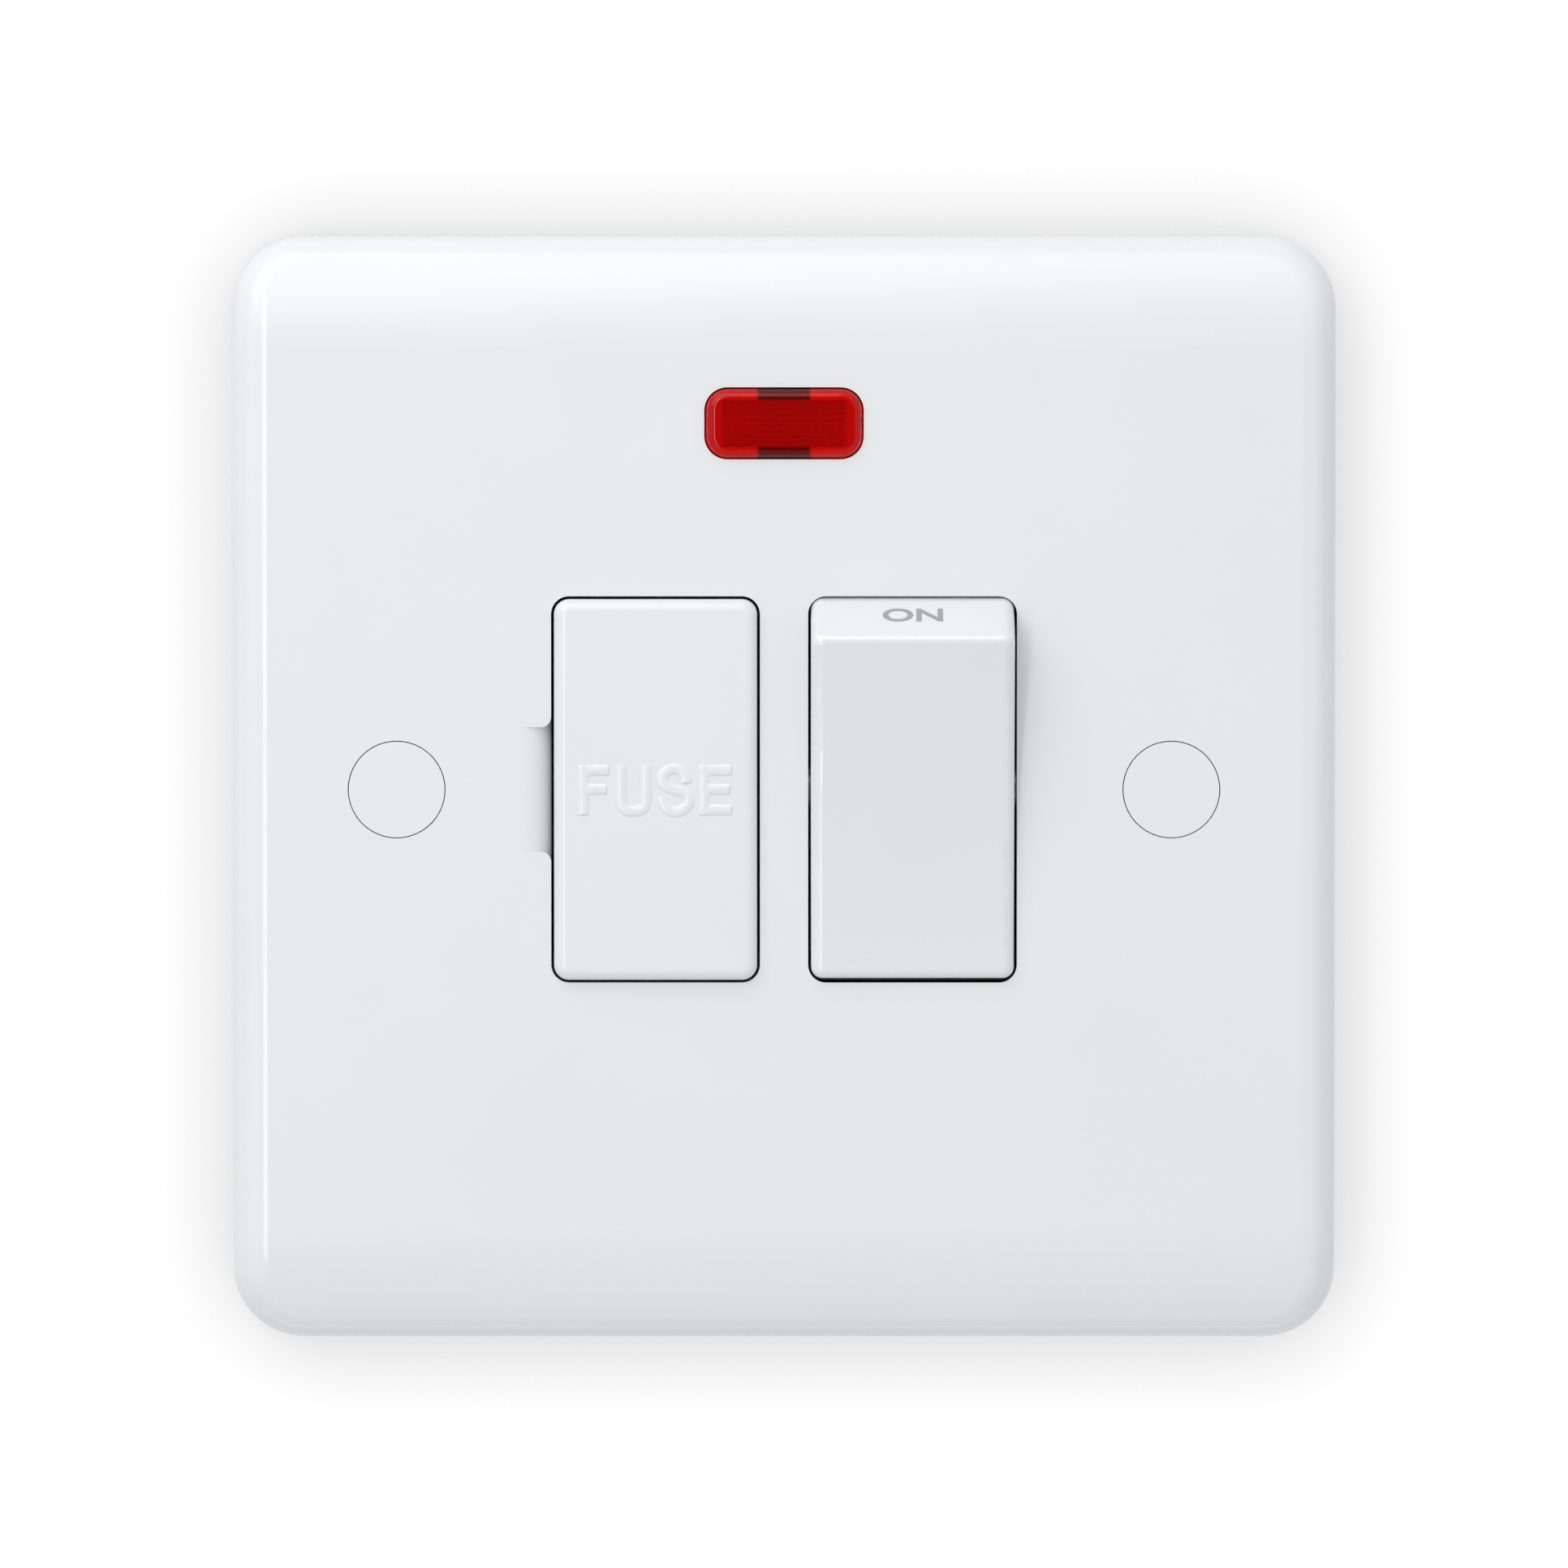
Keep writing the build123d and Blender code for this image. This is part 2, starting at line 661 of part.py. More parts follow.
def fuse_clip(end):
    """Sprung brass clip that straddles one end of the fuse and opens to the front."""
    reach = fuse_cap_radius + clip_clearance + clip_thickness / 2
    base = floor_height + clip_thickness / 2
    lip = fuse_height + clip_lip_start
    with BuildPart() as clip:
        with BuildSketch(level_plane(end * clip_reach)):
            with BuildLine():
                FilletPolyline(
                    (carrier_x - reach - clip_lip_flare, lip + clip_lip_rise),
                    (carrier_x - reach, lip),
                    (carrier_x - reach, base),
                    (carrier_x + reach, base),
                    (carrier_x + reach, lip),
                    (carrier_x + reach + clip_lip_flare, lip + clip_lip_rise),
                    radius=clip_bend,
                )
            trace(line_width=clip_thickness)
        extrude(amount=clip_width / 2, both=True)
    return clip.part


def floor_strip(left, right, low, high):
    """Flat strip of brass on the housing floor, given by its edges."""
    with BuildPart() as strip:
        with BuildSketch(front_plane(floor_height)):
            with Locations(((left + right) / 2, (low + high) / 2)):
                Rectangle(right - left, high - low)
        extrude(amount=strap_thickness)
    return strip.part


# Supply terminals: each block carries a strap that stands up as the fulcrum of its contact
for x, pole in zip(pole_x, ("live", "neutral")):
    with BuildPart() as supply_terminal:
        add(terminal_block(x, -1))
        add(folded_strap(x, [(strap_middle, -block_inner), (strap_middle, 0), (fulcrum_height, 0)]))
        with BuildSketch(side_plane(x)):
            with Locations((fulcrum_height, 0)):
                Circle(strap_thickness / 2)
        extrude(amount=strap_width / 2, both=True)
    finish(supply_terminal, f"{pole}_in_terminal")

# Load terminal of the neutral pole, with the shelf of its fixed contact
shelf_end = contact_reach - rivet_radius - contact_end / 2
shelf_path = [
    (strap_middle, block_inner),
    (strap_middle, riser_reach),
    (shelf_middle, riser_reach),
    (shelf_middle, shelf_end),
]
with BuildPart() as neutral_out_terminal:
    add(terminal_block(outer_pole_x, 1))
    add(folded_strap(outer_pole_x, shelf_path))
finish(neutral_out_terminal, "neutral_out_terminal")

# Live link: shelf of the fixed live contact, joined to the upper fuse clip
clip_side = fuse_cap_radius + clip_clearance + clip_thickness
with BuildPart() as live_link:
    add(folded_strap(pole_x[0], shelf_path))
    add(
        floor_strip(
            carrier_x - clip_side, pole_x[0] + strap_width / 2, riser_reach + strap_bend, block_inner
        )
    )
    add(floor_strip(carrier_x - clip_side, carrier_x + clip_side, clip_reach, block_inner))
    add(fuse_clip(1))
finish(live_link, "live_link")

# Load terminal of the live pole, joined by a side strap to the lower fuse clip
side_strap_right = carrier_x - clip_side - strap_gap
side_strap_left = side_strap_right - strap_width
with BuildPart() as live_out_terminal:
    add(terminal_block(-outer_pole_x, 1))
    add(floor_strip(side_strap_left, side_strap_right, -clip_reach - clip_width / 2, block_inner))
    add(
        floor_strip(
            side_strap_left, carrier_x, -clip_reach - clip_width / 2, -clip_reach + clip_width / 2
        )
    )
    add(fuse_clip(-1))
finish(live_out_terminal, "live_out_terminal")

# Earth terminal: two blocks on one strap
with BuildPart() as earth_terminal:
    for x in pole_x:
        add(terminal_block(-x, -1))
    add(
        floor_strip(
            -outer_pole_x - block_width / 2,
            -pole_x[0] + block_width / 2,
            -block_inner,
            -block_inner + earth_strap_width,
        )
    )
finish(earth_terminal, "earth_terminal")

# Clamping screws of the terminals, let into the back of the housing
terminal_places = [(x, -block_z) for x in pole_x]
terminal_places += [(-x, -block_z) for x in pole_x]
terminal_places += [(-outer_pole_x, block_z), (outer_pole_x, block_z)]
screw_tip = wire_height - wire_radius - seat_clearance
with BuildPart() as terminal_screws:
    with BuildSketch(front_plane(tray_back)):
        with Locations(*terminal_places):
            Circle(terminal_head_radius)
    extrude(amount=terminal_head_height)
    with BuildSketch(front_plane(tray_back)):
        with Locations(*terminal_places):
            Rectangle(2 * terminal_head_radius, slot_width)
    extrude(amount=slot_depth, mode=Mode.SUBTRACT)
    with BuildSketch(front_plane(tray_back + terminal_head_height)):
        with Locations(*terminal_places):
            Circle(terminal_screw_radius)
    extrude(amount=screw_tip - tray_back - terminal_head_height)
finish(terminal_screws, "terminal_screws")

# Rear housing: tray that closes on the back of the plate
inner_width = tray_width - 2 * tray_wall
inner_height = tray_height - 2 * tray_wall
with BuildPart() as rear_housing:
    with BuildSketch(front_plane(tray_back)):
        RectangleRounded(tray_width, tray_height, tray_corner)
    extrude(amount=skin_back - tray_back)
    with BuildSketch(front_plane(floor_height)):
        RectangleRounded(inner_width, inner_height, tray_corner - tray_wall)
    extrude(amount=skin_back - floor_height, mode=Mode.SUBTRACT)
    # Posts for the housing screws
    with BuildSketch(front_plane(floor_height)):
        with GridLocations(2 * post_x, 2 * post_z, 2, 2):
            Circle(post_radius)
    extrude(amount=post_joint - floor_height)
    # Barrier between the fuse and the switch, and ribs beside the terminal blocks
    with BuildSketch(front_plane(floor_height)):
        Rectangle(barrier_wall, window_height)
    extrude(amount=barrier_top - floor_height)
    rib_offset = (block_width + rib_wall) / 2 + block_clearance
    with BuildSketch(front_plane(floor_height)):
        for x, z in terminal_places:
            with Locations((x - rib_offset, z), (x + rib_offset, z)):
                Rectangle(rib_wall, block_length)
    extrude(amount=rib_rise)
    # Passage of the live link through the barrier
    with BuildSketch(front_plane(floor_height)):
        with Locations((0, (riser_reach + strap_bend + block_inner) / 2)):
            Rectangle(
                2 * barrier_wall, block_inner - riser_reach - strap_bend + 2 * block_clearance
            )
    extrude(amount=strap_thickness + block_clearance, mode=Mode.SUBTRACT)
    # Wire windows in the top and bottom walls
    with BuildSketch(level_plane(0)):
        for x, z in terminal_places:
            if z > 0:
                with Locations((x, wire_height)):
                    Rectangle(wire_window, wire_window)
    extrude(amount=-tray_height / 2, mode=Mode.SUBTRACT)
    with BuildSketch(level_plane(0)):
        for x, z in terminal_places:
            if z < 0:
                with Locations((x, wire_height)):
                    Rectangle(wire_window, wire_window)
    extrude(amount=tray_height / 2, mode=Mode.SUBTRACT)
    # Screw holes in the back
    with BuildSketch(front_plane(tray_back)):
        with Locations(*terminal_places):
            Circle(terminal_head_radius + screw_clearance)
    extrude(amount=tray_floor, mode=Mode.SUBTRACT)
    with BuildSketch(front_plane(tray_back)):
        with GridLocations(2 * post_x, 2 * post_z, 2, 2):
            Circle(housing_screw_radius + screw_clearance)
    extrude(amount=post_joint - tray_back, mode=Mode.SUBTRACT)
    with BuildSketch(front_plane(tray_back)):
        with GridLocations(2 * post_x, 2 * post_z, 2, 2):
            Circle(housing_head_radius + screw_clearance)
    extrude(amount=housing_head_height, mode=Mode.SUBTRACT)
    # Notches for the neon leads and the tongue that holds the neon in its pocket
    with BuildSketch(front_plane(bulb_height - lead_radius - lead_slot)):
        with Locations((-lead_x, tray_height / 2), (lead_x, tray_height / 2)):
            Rectangle(2 * (lead_radius + lead_slot), 2 * tray_wall + 2 * lead_slot)
    extrude(amount=skin_back - bulb_height + lead_radius + lead_slot, mode=Mode.SUBTRACT)
    with BuildSketch(front_plane(pocket_foot - tongue_thickness)):
        with Locations((0, tray_height / 2 + tongue_length / 2)):
            Rectangle(tongue_width, tongue_length)
    extrude(amount=tongue_thickness)
finish(rear_housing, "rear_housing")

# Screws that hold the housing to the plate
with BuildPart() as housing_screws:
    with BuildSketch(front_plane(tray_back)):
        with GridLocations(2 * post_x, 2 * post_z, 2, 2):
            Circle(housing_head_radius)
    extrude(amount=housing_head_height)
    with BuildSketch(front_plane(tray_back)):
        with GridLocations(2 * post_x, 2 * post_z, 2, 2):
            Rectangle(2 * housing_head_radius, slot_width)
    extrude(amount=slot_depth, mode=Mode.SUBTRACT)
    with BuildSketch(front_plane(tray_back + housing_head_height)):
        with GridLocations(2 * post_x, 2 * post_z, 2, 2):
            Circle(housing_screw_radius)
    extrude(amount=post_joint + housing_screw_bite - tray_back - housing_head_height)
finish(housing_screws, "housing_screws")

# Neon lens: hollow red cap with fine ribs behind its front and a flange behind the plate
flange_width = lens_width + 2 * lens_flange
flange_height = lens_height + 2 * lens_flange_drop
with BuildPart() as neon_lens:
    with BuildSketch(front_plane(flange_back)):
        with Locations((0, lens_z)):
            RectangleRounded(lens_width, lens_height, lens_corner)
    extrude(amount=lens_top - flange_back)
    fillet(neon_lens.faces().sort_by(Axis.Y)[0].edges(), lens_round)
    with BuildSketch(front_plane(flange_back)):
        with Locations((0, lens_z)):
            Rectangle(flange_width, flange_height)
    extrude(amount=lens_flange_thickness)
    with BuildSketch(front_plane(flange_back)):
        with Locations((0, lens_z)):
            Rectangle(lens_width - 2 * lens_end_wall, lens_height - 2 * lens_wall)
    extrude(amount=lens_top - lens_front - flange_back, mode=Mode.SUBTRACT)
    with BuildSketch(side_plane(0)):
        with Locations((lens_top - lens_front, lens_z)):
            with GridLocations(0, rib_pitch, 1, rib_count):
                RegularPolygon(rib_depth, 3, rotation=180)
    extrude(amount=lens_width / 2 - lens_end_wall, both=True)
finish(neon_lens, "neon_lens")

# Neon lamp in its holder, behind the lens
holder_height = flange_height
with BuildPart() as neon_holder:
    with BuildSketch(front_plane(pocket_foot)):
        with Locations((0, lens_z)):
            Rectangle(flange_width, holder_height)
    extrude(amount=flange_back - pocket_foot)
    with BuildSketch(side_plane(0)):
        with Locations((bulb_height, lens_z)):
            Circle(bulb_radius + fit_clearance)
        with Locations(((bulb_height + flange_back) / 2, lens_z)):
            Rectangle(flange_back - bulb_height, 2 * (bulb_radius + fit_clearance))
    extrude(amount=flange_width / 2, both=True, mode=Mode.SUBTRACT)
finish(neon_holder, "neon_holder")

with BuildPart() as neon_bulb:
    with BuildSketch(Plane(origin=(0, -bulb_height, lens_z), x_dir=(1, 0, 0), z_dir=(0, -1, 0))):
        SlotOverall(bulb_length, 2 * bulb_radius)
        with Locations((0, -bulb_radius)):
            Rectangle(bulb_length, 2 * bulb_radius, mode=Mode.SUBTRACT)
    revolve(axis=Axis((0, -bulb_height, lens_z), (1, 0, 0)))
finish(neon_bulb, "neon_bulb")

with BuildPart() as neon_resistor:
    with BuildSketch(level_plane(resistor_top)):
        with Locations((lead_x, bulb_height)):
            Circle(resistor_radius)
    extrude(amount=resistor_length)
    chamfer(neon_resistor.edges().filter_by(GeomType.CIRCLE), resistor_bevel)
finish(neon_resistor, "neon_resistor")


def lead(points):
    """Thin wire along straight runs joined by arcs. A point is X, height and Z."""
    route = [(x, -height, z) for x, height, z in points]
    with BuildPart() as wire:
        with BuildLine():
            path = FilletPolyline(*route, radius=lead_bend)
        with BuildSketch(Plane(path @ 0, z_dir=path % 0)):
            Circle(lead_radius)
        sweep()
    return wire


bulb_end = bulb_length / 2
resistor_low = resistor_top - resistor_length
finish(
    lead(
        [
            (-bulb_end, bulb_height, lens_z),
            (-lead_x, bulb_height, lens_z),
            (-lead_x, bulb_height, block_z),
            (-lead_x, block_front, block_z),
        ]
    ),
    "neon_live_lead",
)
finish(
    lead(
        [
            (bulb_end, bulb_height, lens_z),
            (lead_x, bulb_height, lens_z),
            (lead_x, bulb_height, resistor_top),
        ]
    ),
    "neon_link_lead",
)
finish(
    lead(
        [
            (lead_x, bulb_height, resistor_low),
            (lead_x, bulb_height, resistor_low - lead_bend - lead_radius),
            (lead_x, block_front, resistor_low - lead_bend - lead_radius),
        ]
    ),
    "neon_neutral_lead",
)
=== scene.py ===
import json
from math import atan2, cos, pi, radians, sin

import bpy
from bpy.props import FloatProperty, FloatVectorProperty, IntProperty, PointerProperty
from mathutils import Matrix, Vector


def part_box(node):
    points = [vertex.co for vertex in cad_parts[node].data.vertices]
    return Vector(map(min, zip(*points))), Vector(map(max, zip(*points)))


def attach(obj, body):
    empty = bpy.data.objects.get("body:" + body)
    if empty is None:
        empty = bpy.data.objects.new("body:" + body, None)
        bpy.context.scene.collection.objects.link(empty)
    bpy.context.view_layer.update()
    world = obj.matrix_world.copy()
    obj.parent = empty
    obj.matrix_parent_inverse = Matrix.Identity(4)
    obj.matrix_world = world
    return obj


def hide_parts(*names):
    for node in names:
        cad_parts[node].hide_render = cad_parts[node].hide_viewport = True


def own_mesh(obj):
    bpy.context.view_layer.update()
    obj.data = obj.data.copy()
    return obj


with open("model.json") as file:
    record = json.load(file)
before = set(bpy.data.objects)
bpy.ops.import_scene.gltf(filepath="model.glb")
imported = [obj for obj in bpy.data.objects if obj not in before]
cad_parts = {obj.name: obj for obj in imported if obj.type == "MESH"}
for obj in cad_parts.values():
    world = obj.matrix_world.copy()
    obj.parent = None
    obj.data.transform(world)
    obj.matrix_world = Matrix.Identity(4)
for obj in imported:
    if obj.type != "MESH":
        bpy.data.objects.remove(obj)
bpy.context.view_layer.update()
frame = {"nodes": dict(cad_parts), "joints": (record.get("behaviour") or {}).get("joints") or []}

bl_info = {
    "name": "Fused Spur Unit",
    "version": (1, 0, 0),
    "blender": (4, 5, 0),
    "location": "View3D > Sidebar > Spur Unit",
    "description": "Finishes, lettering, screws, springs and studio of a switched fused connection unit",
    "category": "Object",
}

MM = 0.001

# Height of a capital letter, as a share of the size of the text
CAPITAL_SHARE = 0.7

# How far a stroke of the fuse word goes past its end points, as a share of its radius
STROKE_OVERRUN = 0.7

# Voxels across a stroke when the strokes of the fuse word are melted together
STROKE_VOXELS = 14

# How far the middle of the ink stands off the rocker, as a share of the ink's thickness
INK_LIFT = 0.25

# Distance of the terminal letters' rows inwards from the outer rim of the terminal screws
MARK_INSET = 9 * MM

# Rough direction of the rocker's upper facet, and how far a flat face may turn away from it
UPPER_FACET = (0, -0.45, 0.9)
FACET_TURN = radians(25)

# A face whose normal goes this far along an axis counts as looking along it
SQUARE_ON = 0.9

# Angles up to which edges are shaded smooth, on letters, on turned pieces and on wound ones
LETTER_ANGLE = radians(40)
TURNED_ANGLE = radians(35)
WOUND_ANGLE = radians(50)

# Turns of thread that are wound past the shank's ends and cut off again
SPARE_TURNS = 3

# Values between which most of a cloudy pattern lies
CLOUD_LOW = 0.3
CLOUD_HIGH = 0.7

# Clearness of the lens on its face, at its ends and on its bevels
LENS_FACE = 0.8
LENS_ENDS = 0.6
LENS_BEVELS = 0.5

# Where the ends and the bevels of the lens begin and are full, inwards from its front's edge
LENS_END_EDGE = (0.9 * MM, 0.5 * MM)
LENS_BEVEL_EDGE = (0.4 * MM, 0.2 * MM)

# Where the painted shade on the middle of the long bevels fades, outwards from it, and its share of the
# colour
LENS_PAINTED_SHADE_EDGE = (1.9 * MM, 2.2 * MM)
LENS_PAINTED_SHADE_SHARE = 0.2

# Points of the lens that lie no deeper than this belong to its front
LENS_FRONT_DEPTH = 0.05 * MM

# Bands of the resistor: where each starts, as a share of its length, and the colour
RESISTOR_BANDS = (
    (0.20, (0.15, 0.05, 0.02)),
    (0.38, (0.02, 0.02, 0.02)),
    (0.56, (0.75, 0.55, 0.03)),
)
BAND_WIDTH = 0.09

# Lamps, which all aim at the middle of the plate's back: name, place, width and height, in metres
LAMPS = (
    ("key", (-0.22, -0.38, 0.41), (0.58, 0.58)),
    ("strip", (-0.24, -0.80, 0.0), (0.06, 0.7)),
    ("low", (0, -0.02, -0.5), (0.7, 0.03)),
    ("back", (0.35, 0.8, 0.45), (0.6, 0.6)),
)

# Wall: half its width, its distance behind the plate's back, how far it reaches in behind the
# plate's edge, and the rounding of its opening's corners
WALL_HALF = 1.5
WALL_SETBACK = 0.2 * MM
WALL_OVERLAP = 0.4 * MM
WALL_CORNER = 6 * MM

# Wall paint: its shade for the light that it throws back, its shade and its glow where it is
# looked at, the glow that it gains where nothing is near, which leaves a painted shadow near the
# plate, and how far away counts as near
WALL_BOUNCE = 0.64
WALL_SHADE = 0.14
WALL_GLOW = 0.45
PAINTED_SHADOW_DEPTH = 0.44
PAINTED_SHADOW_REACH = 8 * MM

# Sky: how much it brightens towards +X, +Y and +Z, as shares of its strength
SKY_LEAN = (0.03, -0.57, 0.24)

# Sky in mirror images: its level, how much it brightens towards the top, its share straight in
# front, and the two values of Y between which that gloom fades
MIRRORED_LEVEL = 0.58
MIRRORED_RISE = 0.1
GLOOM_SHARE = 0.05
GLOOM_EDGE = (-0.97, -0.75)

# Letters of the fuse word: how far the middle stands from the word's middle, and the width, in
# millimetres, then the strokes. A stroke's points go from 0 to 1 across and up the letter, and a
# flag says whether it is a curve drawn by those points or straight from each one to the next.
LEFT_STEM = (False, ((0, 0), (0, 1)))
TOP_BAR = (False, ((0, 1), (1, 1)))
MIDDLE_BAR = (False, ((0, 0.52), (0.9, 0.52)))
LOW_BAR = (False, ((0, 0), (1, 0)))
BOWL = (
    True,
    ((0, 1), (0, 0.6), (0, 0.32), (0.02, 0), (0.5, -0.05), (0.98, 0), (1, 0.32), (1, 0.6), (1, 1)),
)
SERPENT = (
    True,
    (
        (0.96, 0.8),
        (0.9, 1.04),
        (0.2, 1.1),
        (-0.16, 0.72),
        (0.3, 0.5),
        (1.24, 0.44),
        (1, -0.09),
        (0.1, -0.1),
        (0, 0.22),
    ),
)
FUSE_LETTERS = (
    (-4.80, 2.65, (LEFT_STEM, TOP_BAR, MIDDLE_BAR)),
    (-1.70, 2.98, (BOWL,)),
    (1.50, 2.98, (SERPENT,)),
    (4.68, 2.86, (LEFT_STEM, TOP_BAR, MIDDLE_BAR, LOW_BAR)),
)

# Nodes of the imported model, by the finish that they take
WHITE_MOULDINGS = ("front_plate", "left_screw_cap", "right_screw_cap", "fuse_carrier")
BRASS_PARTS = (
    "live_in_terminal",
    "neutral_in_terminal",
    "live_out_terminal",
    "neutral_out_terminal",
    "earth_terminal",
    "live_link",
    "live_contact",
    "neutral_contact",
)
SILVER_RIVETS = ("live_moving_rivet", "neutral_moving_rivet", "live_fixed_rivet", "neutral_fixed_rivet")
NEON_LEADS = ("neon_live_lead", "neon_link_lead", "neon_neutral_lead")
STEEL_SCREWS = ("housing_screws", "fixing_screws")
BRASS_SCREWS = ("terminal_screws",)
SPRINGS = ("live_spring", "neutral_spring")
PLUNGERS = ("live_plunger", "neutral_plunger")
FUSE_CAPS = ("fuse_cap_upper", "fuse_cap_lower")


class SpurSizes(bpy.types.PropertyGroup):
    """Sizes of the lettering, the fixing screws and the springs."""

    fuse_stroke: FloatProperty(
        name="Fuse word stroke",
        description="Width of the raised strokes on the fuse carrier",
        default=1.06 * MM,
        unit="LENGTH",
    )
    fuse_word_height: FloatProperty(
        name="Fuse word height",
        description="Height of the raised letters on the fuse carrier",
        default=4.15 * MM,
        unit="LENGTH",
    )
    fuse_word_rise: FloatProperty(
        name="Fuse word rise",
        description="How far the raised letters stand off the fuse carrier",
        default=0.14 * MM,
        unit="LENGTH",
    )
    on_word_width: FloatProperty(
        name="On word width",
        description="Width of the printed word on the rocker",
        default=4.7 * MM,
        unit="LENGTH",
    )
    on_word_height: FloatProperty(
        name="On word height",
        description="Height of the printed letters along the rocker's facet",
        default=2.1 * MM,
        unit="LENGTH",
    )
    on_word_level: FloatProperty(
        name="On word level",
        description="Height of the printed word above the middle of the plate",
        default=13.66 * MM,
        unit="LENGTH",
    )
    on_word_weight: FloatProperty(
        name="On word weight",
        description="How far the strokes of the printed word are thickened on each side",
        default=0.07 * MM,
        unit="LENGTH",
    )
    mark_height: FloatProperty(
        name="Mark height",
        description="Height of the terminal letters on the back of the housing",
        default=2.8 * MM,
        unit="LENGTH",
    )
    mark_rise: FloatProperty(
        name="Mark rise",
        description="How far the terminal letters stand off the back of the housing",
        default=0.25 * MM,
        unit="LENGTH",
    )
    ink_thickness: FloatProperty(
        name="Ink thickness",
        description="Thickness of the printed ink",
        default=0.02 * MM,
        unit="LENGTH",
    )
    screw_radius: FloatProperty(
        name="Screw radius",
        description="Outside radius of the fixing screws' thread",
        default=1.75 * MM,
        unit="LENGTH",
    )
    neck_radius: FloatProperty(
        name="Neck radius",
        description="Radius of the fixing screws' plain neck",
        default=1.5 * MM,
        unit="LENGTH",
    )
    neck_length: FloatProperty(
        name="Neck length",
        description="Length of the fixing screws' plain neck",
        default=3.5 * MM,
        unit="LENGTH",
    )
    neck_round: FloatProperty(
        name="Neck round",
        description="Rounding of the neck's end, where the thread starts",
        default=0.1875 * MM,
        unit="LENGTH",
    )
    head_radius: FloatProperty(
        name="Head radius",
        description="Radius of the fixing screws' head",
        default=3.3 * MM,
        unit="LENGTH",
    )
    head_height: FloatProperty(
        name="Head height",
        description="Height of the fixing screws' head",
        default=2.2 * MM,
        unit="LENGTH",
    )
    head_round: FloatProperty(
        name="Head round",
        description="Rounding of the front rim of the fixing screws' head",
        default=0.5 * MM,
        unit="LENGTH",
    )
    slot_size: FloatProperty(
        name="Slot size",
        description="Width and depth of the slot in the fixing screws' head",
        default=1.0 * MM,
        unit="LENGTH",
    )
    thread_pitch: FloatProperty(
        name="Thread pitch",
        description="Pitch of the fixing screws' thread",
        default=0.6 * MM,
        unit="LENGTH",
    )
    thread_depth: FloatProperty(
        name="Thread depth",
        description="Depth of the fixing screws' thread",
        default=0.32 * MM,
        unit="LENGTH",
    )
    spring_wire: FloatProperty(
        name="Spring wire",
        description="Thickness of the plunger springs' wire",
        default=0.45 * MM,
        unit="LENGTH",
    )
    spring_turns: IntProperty(
        name="Spring turns",
        description="Turns of each plunger spring",
        default=4,
        min=2,
    )
    spring_steps: IntProperty(
        name="Spring steps",
        description="Steps in one turn of the plunger springs",
        default=32,
        min=8,
    )
    thread_steps: IntProperty(
        name="Thread steps",
        description="Steps in one turn of the fixing screws' thread",
        default=28,
        min=8,
    )


class SpurFinishes(bpy.types.PropertyGroup):
    """Colours of the finishes."""

    white_plastic: FloatVectorProperty(
        name="White plastic",
        description="Colour of the plate, the caps, the fuse carrier and the rocker",
        default=(0.79, 0.805, 0.821),
        subtype="COLOR",
    )
    housing_plastic: FloatVectorProperty(
        name="Housing plastic",
        description="Colour of the rear housing",
        default=(0.70, 0.71, 0.715),
        subtype="COLOR",
    )
    holder_plastic: FloatVectorProperty(
        name="Holder plastic",
        description="Colour of the neon bulb's holder",
        default=(0.88, 0.88, 0.87),
        subtype="COLOR",
    )
    nylon: FloatVectorProperty(
        name="Nylon",
        description="Colour of the switch's plungers",
        default=(0.80, 0.77, 0.68),
        subtype="COLOR",
    )
    brass: FloatVectorProperty(
        name="Brass",
        description="Colour of the terminals and contacts",
        default=(0.76, 0.56, 0.25),
        subtype="COLOR",
    )
    steel: FloatVectorProperty(
        name="Steel",
        description="Colour of the plated screws",
        default=(0.66, 0.65, 0.62),
        subtype="COLOR",
    )
    silver: FloatVectorProperty(
        name="Silver",
        description="Colour of the contact rivets, wires and fuse caps",
        default=(0.78, 0.78, 0.76),
        subtype="COLOR",
    )
    red_lens: FloatVectorProperty(
        name="Red lens",
        description="Colour of the indicator's lens",
        default=(0.96, 0.004, 0.003),
        subtype="COLOR",
    )
    bulb_glass: FloatVectorProperty(
        name="Bulb glass",
        description="Colour of the neon bulb's glass",
        default=(0.93, 0.88, 0.84),
        subtype="COLOR",
    )
    ceramic: FloatVectorProperty(
        name="Ceramic",
        description="Colour of the fuse's barrel",
        default=(0.74, 0.69, 0.60),
        subtype="COLOR",
    )
    lacquer: FloatVectorProperty(
        name="Lacquer",
        description="Colour of the resistor between its bands",
        default=(0.60, 0.42, 0.24),
        subtype="COLOR",
    )
    ink: FloatVectorProperty(
        name="Ink",
        description="Colour of the printed word",
        default=(0.36, 0.36, 0.37),
        subtype="COLOR",
    )


